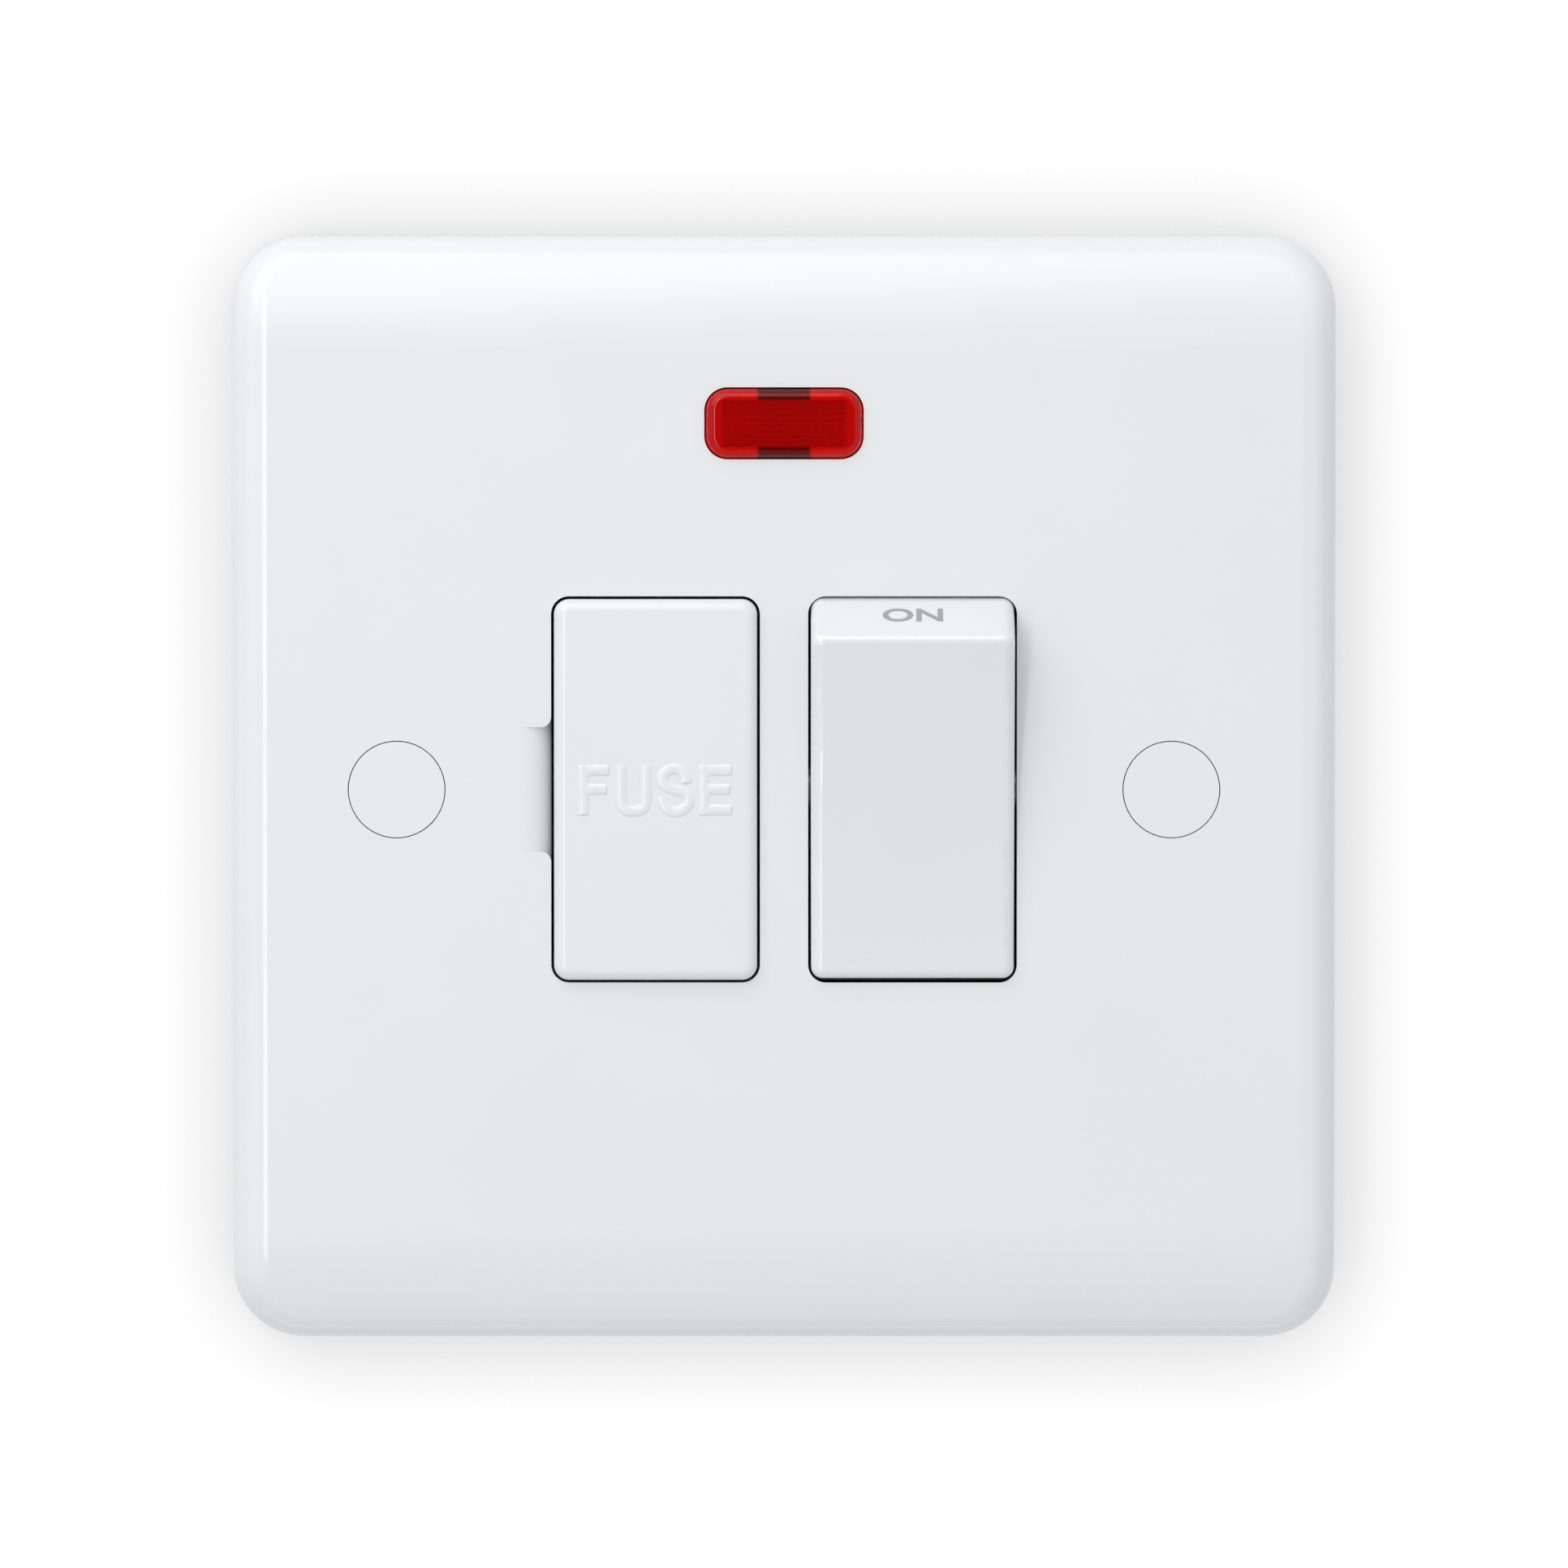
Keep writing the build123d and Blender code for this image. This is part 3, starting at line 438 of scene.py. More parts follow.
class SpurStudio(bpy.types.PropertyGroup):
    """Camera, lamps and sky."""

    camera_distance: FloatProperty(
        name="Camera distance",
        description="Distance of the camera from the middle of the plate",
        default=1.1,
        unit="LENGTH",
    )
    camera_rise: FloatProperty(
        name="Camera rise",
        description="Angle of the camera above the plate's normal",
        default=radians(2.6),
        subtype="ANGLE",
    )
    view_width: FloatProperty(
        name="View width",
        description="Width of the wall that the image takes in",
        default=123.1 * MM,
        unit="LENGTH",
    )
    key_power: FloatProperty(
        name="Key power",
        description="Power of the soft key lamp at the upper left",
        default=1.46,
        unit="POWER",
    )
    strip_power: FloatProperty(
        name="Strip power",
        description="Power of the narrow lamp that draws the highlight on the left edges",
        default=0.9,
        unit="POWER",
    )
    low_power: FloatProperty(
        name="Low power",
        description="Power of the lamp below that lights the bottom edge",
        default=0.16,
        unit="POWER",
    )
    back_power: FloatProperty(
        name="Back power",
        description="Power of the lamp behind the wall",
        default=4.5,
        unit="POWER",
    )
    sky_strength: FloatProperty(
        name="Sky strength",
        description="Strength of the soft light from all round",
        default=0.528,
    )


def deselect():
    """Leave object mode with nothing selected."""
    if bpy.context.mode != "OBJECT":
        bpy.ops.object.mode_set(mode="OBJECT")
    bpy.ops.object.select_all(action="DESELECT")


def new_finish(name):
    """A new node material, its node tree and its surface shader."""
    finish = bpy.data.materials.new(name)
    finish.use_nodes = True
    tree = finish.node_tree
    return finish, tree, tree.nodes["Principled BSDF"]


def parts_of(tree, vector):
    """The X, Y and Z sockets of a vector."""
    node = tree.nodes.new("ShaderNodeSeparateXYZ")
    tree.links.new(vector, node.inputs[0])
    return node.outputs


def piece_coords(tree):
    """The piece's own coordinates, in metres."""
    return tree.nodes.new("ShaderNodeTexCoord").outputs["Object"]


def cloud(tree, coords, grain, detail=3.0):
    """Cloudy pattern whose patches are about as wide as grain, in metres."""
    node = tree.nodes.new("ShaderNodeTexNoise")
    node.inputs["Scale"].default_value = 1 / grain
    node.inputs["Detail"].default_value = detail
    tree.links.new(coords, node.inputs["Vector"])
    return node.outputs["Fac"]


def spread(tree, factor, low, high):
    """Spread a pattern between two values."""
    node = tree.nodes.new("ShaderNodeMapRange")
    node.inputs["From Min"].default_value = CLOUD_LOW
    node.inputs["From Max"].default_value = CLOUD_HIGH
    node.inputs["To Min"].default_value = low
    node.inputs["To Max"].default_value = high
    tree.links.new(factor, node.inputs["Value"])
    return node.outputs["Result"]


def shades(tree, factor, dark, light):
    """Mix two colours by a pattern."""
    node = tree.nodes.new("ShaderNodeMix")
    node.data_type = "RGBA"
    node.inputs["A"].default_value = (*dark, 1)
    node.inputs["B"].default_value = (*light, 1)
    tree.links.new(factor, node.inputs["Factor"])
    return node.outputs["Result"]


def raise_grain(tree, shader, pattern, depth):
    """Give the surface a grain of this depth, in metres."""
    node = tree.nodes.new("ShaderNodeBump")
    node.inputs["Strength"].default_value = 1.0
    node.inputs["Distance"].default_value = depth
    tree.links.new(pattern, node.inputs["Height"])
    tree.links.new(node.outputs["Normal"], shader.inputs["Normal"])


def maths(tree, operation, *terms):
    """A math node, fed with sockets or plain numbers."""
    node = tree.nodes.new("ShaderNodeMath")
    node.operation = operation
    for socket, term in zip(node.inputs, terms):
        if isinstance(term, bpy.types.NodeSocket):
            tree.links.new(term, socket)
        else:
            socket.default_value = term
    return node.outputs[0]


def between(tree, factor, first, second):
    """A mix of two numbers, fed with sockets or plain numbers."""
    difference = maths(tree, "SUBTRACT", second, first)
    return maths(tree, "MULTIPLY_ADD", factor, difference, first)


def slope(tree, value, start, end, low, high):
    """A soft step from one number to another as a value goes from start to end."""
    node = tree.nodes.new("ShaderNodeMapRange")
    node.interpolation_type = "SMOOTHSTEP"
    node.inputs["From Min"].default_value = start
    node.inputs["From Max"].default_value = end
    node.inputs["To Min"].default_value = low
    node.inputs["To Max"].default_value = high
    tree.links.new(value, node.inputs["Value"])
    return node.outputs["Result"]


def tint(colour, share):
    """A colour made lighter or darker."""
    return tuple(min(1.0, channel * share) for channel in colour)


def uneven(tree, shader, colour, tone_patch, tones, sheen_patch, sheens, sheen_detail=3.0):
    """Vary a surface's tone and sheen in patches of these widths, and give its coordinates."""
    coords = piece_coords(tree)
    dark, light = (tint(colour, share) for share in tones)
    tone = shades(tree, cloud(tree, coords, tone_patch), dark, light)
    tree.links.new(tone, shader.inputs["Base Color"])
    sheen = spread(tree, cloud(tree, coords, sheen_patch, sheen_detail), *sheens)
    tree.links.new(sheen, shader.inputs["Roughness"])
    return coords


def moulded_plastic(name, colour, gloss, grain, depth, shine=0.5):
    """Moulded plastic: a faintly cloudy tone, an uneven gloss and a fine skin grain."""
    finish, tree, shader = new_finish(name)
    coords = uneven(
        tree,
        shader,
        colour,
        tone_patch=14 * MM,
        tones=(0.985, 1.015),
        sheen_patch=5 * MM,
        sheens=(gloss - 0.03, gloss + 0.03),
    )
    shader.inputs["IOR"].default_value = 1.5
    shader.inputs["Specular IOR Level"].default_value = shine
    raise_grain(tree, shader, cloud(tree, coords, grain), depth)
    return finish


def bare_metal(name, colour, gloss, grain, depth):
    """Bare metal: uneven tone and gloss, with fine marks from pressing or turning."""
    finish, tree, shader = new_finish(name)
    coords = uneven(
        tree,
        shader,
        colour,
        tone_patch=3 * MM,
        tones=(0.78, 1.05),
        sheen_patch=0.8 * MM,
        sheens=(gloss - 0.07, gloss + 0.09),
        sheen_detail=5.0,
    )
    shader.inputs["Metallic"].default_value = 1.0
    raise_grain(tree, shader, cloud(tree, coords, grain), depth)
    return finish


def clear_lens(name, colour, gloss, clearness, shine=0.5):
    """Clear moulded plastic or glass that tints what lies behind it."""
    finish, tree, shader = new_finish(name)
    uneven(
        tree,
        shader,
        colour,
        tone_patch=2 * MM,
        tones=(0.92, 1.06),
        sheen_patch=1 * MM,
        sheens=(gloss, gloss + 0.04),
    )
    shader.inputs["IOR"].default_value = 1.49
    shader.inputs["Transmission Weight"].default_value = clearness
    shader.inputs["Specular IOR Level"].default_value = shine
    return finish


def dress(finish, *nodes):
    """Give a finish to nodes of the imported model."""
    for node in nodes:
        for slot in frame["nodes"][node].material_slots:
            slot.material = finish


def own(piece, name, finish, body):
    """Name a new piece, give it its finish and make it ride on a body."""
    piece.name = name
    piece.data.name = name
    piece.data.materials.clear()
    piece.data.materials.append(finish)
    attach(piece, body)


def letters(word, height, thickness, edge, weight=0.0, width=None):
    """Flat letters as a mesh that faces +Z, centred on its own origin, its rim rounded by edge."""
    deselect()
    bpy.ops.object.text_add()
    text = bpy.context.object
    text.data.body = word
    text.data.size = height / CAPITAL_SHARE
    text.data.resolution_u = 6
    text.data.extrude = thickness / 2 - edge
    text.data.bevel_depth = edge
    text.data.bevel_resolution = 3
    text.data.offset = weight - edge
    bpy.ops.object.convert(target="MESH")
    bpy.ops.object.origin_set(type="ORIGIN_GEOMETRY", center="BOUNDS")
    piece = bpy.context.object
    share = height / piece.dimensions.y
    piece.scale = (width / piece.dimensions.x if width else share, share, 1)
    bpy.ops.object.transform_apply(location=False, rotation=False, scale=True)
    bpy.ops.object.shade_smooth_by_angle(angle=LETTER_ANGLE)
    return piece


def activate(piece):
    """Select one piece alone and make it the active one."""
    deselect()
    piece.select_set(True)
    bpy.context.view_layer.objects.active = piece


def pick(piece, kind, wanted):
    """Select the faces or points of a piece that pass a test, and go into edit mode."""
    activate(piece)
    bpy.ops.object.mode_set(mode="EDIT")
    bpy.ops.mesh.select_mode(type=kind)
    bpy.ops.mesh.select_all(action="DESELECT")
    bpy.ops.object.mode_set(mode="OBJECT")
    for element in piece.data.polygons if kind == "FACE" else piece.data.vertices:
        element.select = wanted(element)
    bpy.ops.object.mode_set(mode="EDIT")


def seat(piece, place, turn, spin=0.0):
    """Turn a piece about X and then Z, put it in place and apply all that to its mesh."""
    activate(piece)
    piece.location = place
    piece.rotation_euler = (turn, 0, spin)
    bpy.ops.object.transform_apply(location=True, rotation=True, scale=True)


def join(*pieces):
    """Join pieces into the first one."""
    activate(pieces[0])
    for piece in pieces[1:]:
        piece.select_set(True)
    bpy.ops.object.join()
    return pieces[0]


def apply_modifier(piece, name):
    """Apply one modifier of a piece."""
    activate(piece)
    bpy.ops.object.modifier_apply(modifier=name)


def flat_patch(node, towards):
    """Middle and normal of the largest flat face of a node that looks this way."""
    mesh = frame["nodes"][node].data
    towards = Vector(towards).normalized()
    patches = {}
    for face in mesh.polygons:
        if face.normal.dot(towards) > cos(FACET_TURN):
            key = tuple(round(part, 2) for part in face.normal)
            patches.setdefault(key, []).append(face)
    faces = max(patches.values(), key=lambda group: sum(face.area for face in group))
    area = sum(face.area for face in faces)
    middle = sum((face.center * face.area for face in faces), Vector()) / area
    return middle, faces[0].normal.copy()


class SPUR_OT_mouldings(bpy.types.Operator):
    """Finish the white mouldings, the rear housing, the bulb's holder and the plungers"""

    bl_idname = "spur.mouldings"
    bl_label = "Finish Mouldings"

    def execute(self, context):
        finishes = context.scene.spur_finishes
        white = finishes.white_plastic
        tray = finishes.housing_plastic
        holder = finishes.holder_plastic
        plastics = (
            ("white_plastic_gloss", white, 0.17, 0.5 * MM, 0.001 * MM, 0.5, WHITE_MOULDINGS),
            ("rocker_plastic_polished", white, 0.15, 0.5 * MM, 0.001 * MM, 0.9, ("rocker",)),
            ("housing_plastic_satin", tray, 0.42, 0.16 * MM, 0.006 * MM, 0.5, ("rear_housing",)),
            ("holder_white", holder, 0.35, 0.16 * MM, 0.004 * MM, 0.5, ("neon_holder",)),
            ("plunger_nylon", finishes.nylon, 0.35, 0.3 * MM, 0.003 * MM, 0.5, PLUNGERS),
        )
        for name, colour, gloss, grain, depth, shine, nodes in plastics:
            dress(moulded_plastic(name, colour, gloss, grain, depth, shine), *nodes)
        return {"FINISHED"}


class SPUR_OT_metalwork(bpy.types.Operator):
    """Finish the terminals, contacts, screws, springs and wires"""

    bl_idname = "spur.metalwork"
    bl_label = "Finish Metalwork"

    def execute(self, context):
        finishes = context.scene.spur_finishes
        brass = finishes.brass
        steel = finishes.steel
        silver = finishes.silver
        metals = (
            ("pressed_brass", brass, 0.3, 0.12 * MM, 0.003 * MM, BRASS_PARTS),
            ("turned_brass", tint(brass, 0.96), 0.26, 0.06 * MM, 0.004 * MM, BRASS_SCREWS),
            ("plated_steel", steel, 0.24, 0.08 * MM, 0.002 * MM, STEEL_SCREWS),
            ("spring_wire", tint(steel, 0.8), 0.3, 0.05 * MM, 0.002 * MM, SPRINGS),
            ("contact_silver", silver, 0.28, 0.1 * MM, 0.003 * MM, SILVER_RIVETS),
            ("tinned_wire", tint(silver, 0.95), 0.25, 0.08 * MM, 0.002 * MM, NEON_LEADS),
            ("fuse_cap_nickel", tint(silver, 1.02), 0.2, 0.1 * MM, 0.001 * MM, FUSE_CAPS),
        )
        for name, colour, gloss, grain, depth, nodes in metals:
            dress(bare_metal(name, colour, gloss, grain, depth), *nodes)
        return {"FINISHED"}


class SPUR_OT_indicator(bpy.types.Operator):
    """Finish the red lens, the neon bulb, its resistor and the fuse barrel"""

    bl_idname = "spur.indicator"
    bl_label = "Finish Indicator and Fuse"

    def execute(self, context):
        finishes = context.scene.spur_finishes
        dress(self.walled_lens(finishes.red_lens), "neon_lens")
        glass = clear_lens("bulb_glass", finishes.bulb_glass, gloss=0.02, clearness=1.0)
        dress(glass, "neon_bulb")
        dress(self.banded_lacquer(finishes.lacquer), "neon_resistor")
        ceramic = moulded_plastic(
            "fuse_ceramic", finishes.ceramic, gloss=0.22, grain=0.2 * MM, depth=0.004 * MM
        )
        dress(ceramic, "fuse_barrel")
        return {"FINISHED"}

    def walled_lens(self, colour):
        """Clear red plastic, cloudier at both ends and on its bevels, with painted shade darkening the
        middles of its long bevels.
        """
        finish = clear_lens("red_lens_clear", colour, gloss=0.03, clearness=LENS_FACE, shine=0.12)
        tree = finish.node_tree
        coords = parts_of(tree, piece_coords(tree))
        low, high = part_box("neon_lens")
        level = (low.z + high.z) / 2
        points = [point.co for point in frame["nodes"]["neon_lens"].data.vertices]
        front = [place for place in points if place.y < low.y + LENS_FRONT_DEPTH]
        end = max(place.x for place in front)
        rim = max(place.z for place in front) - level
        along = maths(tree, "ABSOLUTE", coords["X"])
        upright = maths(tree, "ABSOLUTE", maths(tree, "SUBTRACT", coords["Z"], level))
        end_start, end_full = LENS_END_EDGE
        face = slope(tree, along, end - end_start, end - end_full, LENS_FACE, LENS_ENDS)
        bevel_start, bevel_full = LENS_BEVEL_EDGE
        on_bevel = slope(tree, upright, rim - bevel_start, rim - bevel_full, 0.0, 1.0)
        shader = tree.nodes["Principled BSDF"]
        clearness = between(tree, on_bevel, face, LENS_BEVELS)
        tree.links.new(clearness, shader.inputs["Transmission Weight"])
        tone = shader.inputs["Base Color"].links[0].from_socket
        # Painted shade: the colour of the long bevels' middles is mixed towards a dark red
        middle = slope(tree, along, *LENS_PAINTED_SHADE_EDGE, 1.0, 0.0)
        deep = tree.nodes.new("ShaderNodeMix")
        deep.data_type = "RGBA"
        tree.links.new(maths(tree, "MULTIPLY", on_bevel, middle), deep.inputs["Factor"])
        tree.links.new(tone, deep.inputs["A"])
        deep.inputs["B"].default_value = (*tint(colour, LENS_PAINTED_SHADE_SHARE), 1)
        tree.links.new(deep.outputs["Result"], shader.inputs["Base Color"])
        return finish

    def banded_lacquer(self, lacquer):
        """Lacquer with colour bands across the resistor."""
        finish = moulded_plastic(
            "resistor_lacquer", lacquer, gloss=0.3, grain=0.3 * MM, depth=0.004 * MM
        )
        tree = finish.node_tree
        low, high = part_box("neon_resistor")
        along = tree.nodes.new("ShaderNodeMapRange")
        along.inputs["From Min"].default_value = low.z
        along.inputs["From Max"].default_value = high.z
        tree.links.new(parts_of(tree, piece_coords(tree))["Z"], along.inputs["Value"])
        ramp = tree.nodes.new("ShaderNodeValToRGB")
        bands = ramp.color_ramp
        bands.interpolation = "CONSTANT"
        for element in bands.elements:
            element.color = (*lacquer, 1)
        for start, colour in RESISTOR_BANDS:
            bands.elements.new(start).color = (*colour, 1)
            bands.elements.new(start + BAND_WIDTH).color = (*lacquer, 1)
        tree.links.new(along.outputs["Result"], ramp.inputs["Fac"])
        tree.links.new(ramp.outputs["Color"], tree.nodes["Principled BSDF"].inputs["Base Color"])
        return finish


class SPUR_OT_fuse_word(bpy.types.Operator):
    """Raise the moulded word on the fuse carrier"""

    bl_idname = "spur.fuse_word"
    bl_label = "Raise Fuse Word"

    def execute(self, context):
        sizes = context.scene.spur_sizes
        tall = sizes.fuse_word_height - sizes.fuse_stroke
        strokes = []
        for middle, width, letter in FUSE_LETTERS:
            wide = width * MM - sizes.fuse_stroke
            for curved, points in letter:
                places = [(middle * MM + (x - 0.5) * wide, (y - 0.5) * tall) for x, y in points]
                strokes.append(self.stroke(places, curved, sizes.fuse_stroke / 2))
        word = self.melt(join(*strokes), sizes.fuse_stroke)
        low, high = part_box("fuse_carrier")
        # The ridge lies half in the carrier, so it is twice as high as the word's rise
        ridge = 2 * sizes.fuse_word_rise
        word.scale = (1, 1, 2 * ridge / sizes.fuse_stroke)
        depth = low.y + ridge - sizes.fuse_word_rise
        seat(word, ((low.x + high.x) / 2, depth, (low.z + high.z) / 2), radians(90))
        finish = bpy.data.materials["white_plastic_gloss"]
        own(word, "fuse_word", finish, "fuse_carrier")
        return {"FINISHED"}

    def stroke(self, places, curved, radius):
        """A round bar along one stroke, a little past its ends, as a mesh on the XY plane."""
        places = [Vector(place) for place in places]
        places[0] += (places[0] - places[1]).normalized() * radius * STROKE_OVERRUN
        places[-1] += (places[-1] - places[-2]).normalized() * radius * STROKE_OVERRUN
        deselect()
        bpy.ops.curve.primitive_nurbs_path_add()
        path = bpy.context.object
        path.data.splines.clear()
        line = path.data.splines.new("NURBS" if curved else "POLY")
        line.points.add(len(places) - 1)
        for point, (x, y) in zip(line.points, places):
            point.co = (x, y, 0, 1)
        line.order_u = 4
        line.use_endpoint_u = True
        line.resolution_u = 6
        path.data.bevel_depth = radius
        path.data.bevel_resolution = 4
        path.data.use_fill_caps = True
        bpy.ops.object.convert(target="MESH")
        return bpy.context.object

    def melt(self, word, stroke):
        """Melt the bars into one soft ridge and cut away what would lie deep in the carrier."""
        blend = word.modifiers.new("blend", "REMESH")
        blend.mode = "VOXEL"
        blend.voxel_size = stroke / STROKE_VOXELS
        apply_modifier(word, "blend")
        soften = word.modifiers.new("soften", "SMOOTH")
        soften.factor = 0.5
        soften.iterations = 5
        apply_modifier(word, "soften")
        bpy.ops.object.mode_set(mode="EDIT")
        bpy.ops.mesh.select_all(action="SELECT")
        bpy.ops.mesh.bisect(
            plane_co=(0, 0, 0),
            plane_no=(0, 0, -1),
            use_fill=True,
            clear_outer=True,
            threshold=stroke / 1000,
        )
        bpy.ops.object.mode_set(mode="OBJECT")
        bpy.ops.object.shade_smooth_by_angle(angle=LETTER_ANGLE)
        return word


class SPUR_OT_on_word(bpy.types.Operator):
    """Print the word on the rocker's upper facet"""

    bl_idname = "spur.on_word"
    bl_label = "Print On Word"

    def execute(self, context):
        sizes = context.scene.spur_sizes
        finishes = context.scene.spur_finishes
        thickness = sizes.ink_thickness
        word = letters(
            "ON",
            sizes.on_word_height,
            thickness,
            edge=0.0,
            weight=sizes.on_word_weight,
            width=sizes.on_word_width,
        )
        middle, normal = flat_patch("rocker", UPPER_FACET)
        lie = atan2(-normal.y, normal.z)
        up = Vector((0, cos(lie), sin(lie)))
        shift = (sizes.on_word_level - middle.z) / up.z
        place = middle + up * shift + normal * thickness * INK_LIFT
        seat(word, (middle.x, place.y, place.z), lie)
        ink = moulded_plastic(
            "grey_ink", finishes.ink, gloss=0.45, grain=0.08 * MM, depth=0.001 * MM
        )
        own(word, "on_word", ink, "rocker")
        return {"FINISHED"}


class SPUR_OT_terminal_marks(bpy.types.Operator):
    """Raise the terminal letters on the back of the housing"""

    bl_idname = "spur.terminal_marks"
    bl_label = "Raise Terminal Marks"

    def execute(self, context):
        sizes = context.scene.spur_sizes
        rise = sizes.mark_rise
        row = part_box("terminal_screws")[1].z - MARK_INSET
        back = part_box("rear_housing")[1].y
        neutral_x = self.middle("neutral_out_terminal")
        live_x = self.middle("live_in_terminal")
        places = (
            ("L", -neutral_x, row),
            ("N", neutral_x, row),
            ("LOAD", 0, row),
            ("L", live_x, -row),
            ("N", neutral_x, -row),
            ("E", -(live_x + neutral_x) / 2, -row),
        )
        marks = []
        for word, x, z in places:
            mark = letters(word, sizes.mark_height, 2 * rise, rise / 2)
            seat(mark, (x, back, z), radians(90), radians(180))
            marks.append(mark)
        finish = bpy.data.materials["housing_plastic_satin"]
        own(join(*marks), "terminal_marks", finish, "base")
        return {"FINISHED"}

    def middle(self, node):
        """Middle of a node from side to side."""
        low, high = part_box(node)
        return (low.x + high.x) / 2


class SPUR_OT_fixing_screws(bpy.types.Operator):
    """Make the two fixing screws with slotted heads and real threads"""

    bl_idname = "spur.fixing_screws"
    bl_label = "Make Fixing Screws"

    def execute(self, context):
        sizes = context.scene.spur_sizes
        low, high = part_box("fixing_screws")
        offset = high.x - sizes.head_radius
        neck_start = low.y + sizes.head_height
        thread_start = neck_start + sizes.neck_length
        screw = join(
            self.head(sizes, low.y),
            self.neck(sizes, neck_start, thread_start),
            self.thread(sizes, thread_start, high.y),
        )
        activate(screw)
        bpy.ops.object.duplicate()
        other = bpy.context.object
        seat(screw, (-offset, 0, 0), 0.0)
        seat(other, (offset, 0, 0), 0.0)
        pair = join(screw, other)
        own(pair, "fixing_screw_pair", bpy.data.materials["plated_steel"], "base")
        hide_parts("fixing_screws")
        return {"FINISHED"}

    def head(self, sizes, front):
        """Round head with a rounded rim and a slot across its front."""
        deselect()
        middle = front + sizes.head_height / 2
        bpy.ops.mesh.primitive_cylinder_add(
            vertices=64,
            radius=sizes.head_radius,
            depth=sizes.head_height,
            location=(0, middle, 0),
            rotation=(radians(90), 0, 0),
        )
        head = bpy.context.object
        bpy.ops.object.transform_apply(location=True, rotation=True, scale=True)
        pick(head, "FACE", lambda face: face.normal.y < -SQUARE_ON)
        bpy.ops.mesh.bevel(offset=sizes.head_round, segments=5, affect="EDGES")
        bpy.ops.object.mode_set(mode="OBJECT")
        bpy.ops.object.shade_smooth_by_angle(angle=TURNED_ANGLE)
        deselect()
        # The cutter is a bar right across the head, as wide as the slot and half of it in front
        bpy.ops.mesh.primitive_cube_add(size=2 * sizes.slot_size, location=(0, front, 0))
        cutter = bpy.context.object
        cutter.scale = (2 * sizes.head_radius / sizes.slot_size, 1, 0.5)
        bpy.ops.object.transform_apply(location=True, rotation=True, scale=True)
        slot = head.modifiers.new("slot", "BOOLEAN")
        slot.operation = "DIFFERENCE"
        slot.object = cutter
        apply_modifier(head, "slot")
        bpy.data.objects.remove(cutter)
        return head

    def neck(self, sizes, start, end):
        """Plain neck, rounded at the end where the thread starts."""
        deselect()
        bpy.ops.mesh.primitive_cylinder_add(
            vertices=48,
            radius=sizes.neck_radius,
            depth=end - start,
            location=(0, (start + end) / 2, 0),
            rotation=(radians(90), 0, 0),
        )
        neck = bpy.context.object
        bpy.ops.object.transform_apply(location=True, rotation=True, scale=True)
        pick(neck, "FACE", lambda face: face.normal.y > SQUARE_ON)
        bpy.ops.mesh.bevel(offset=sizes.neck_round, segments=3, affect="EDGES")
        bpy.ops.object.mode_set(mode="OBJECT")
        bpy.ops.object.shade_smooth_by_angle(angle=TURNED_ANGLE)
        return neck

    def thread(self, sizes, start, end):
        """Threaded shank: one tooth wound along the axis, then cut square at both ends."""
        deselect()
        pitch = sizes.thread_pitch
        bpy.ops.mesh.primitive_circle_add(vertices=4, radius=pitch / 2)
        shank = bpy.context.object
        pick(shank, "VERT", lambda point: point.co.x < -pitch / 4)
        bpy.ops.mesh.delete(type="VERT")
        bpy.ops.mesh.select_all(action="SELECT")
        bpy.ops.transform.resize(
            value=(2 * sizes.thread_depth / pitch, 1, 1), center_override=(0, 0, 0)
        )
        root = sizes.screw_radius - sizes.thread_depth
        bpy.ops.transform.translate(value=(root, start - pitch, 0))
        bpy.ops.object.mode_set(mode="OBJECT")
        wind = shank.modifiers.new("wind", "SCREW")
        wind.axis = "Y"
        wind.screw_offset = pitch
        wind.iterations = int((end - start) / pitch) + SPARE_TURNS
        wind.steps = sizes.thread_steps
        wind.render_steps = sizes.thread_steps
        wind.use_merge_vertices = True
        wind.merge_threshold = pitch / 100
        apply_modifier(shank, "wind")
        bpy.ops.object.mode_set(mode="EDIT")
        bpy.ops.mesh.select_all(action="SELECT")
        bpy.ops.mesh.remove_doubles(threshold=pitch / 100)
        for level, outwards in ((start, -1), (end, 1)):
            bpy.ops.mesh.select_all(action="SELECT")
            bpy.ops.mesh.bisect(
                plane_co=(0, level, 0),
                plane_no=(0, outwards, 0),
                use_fill=True,
                clear_outer=True,
                threshold=pitch / 1000,
            )
        bpy.ops.mesh.select_all(action="SELECT")
        bpy.ops.mesh.normals_make_consistent(inside=False)
        bpy.ops.object.mode_set(mode="OBJECT")
        bpy.ops.object.shade_smooth_by_angle(angle=WOUND_ANGLE)
        return shank


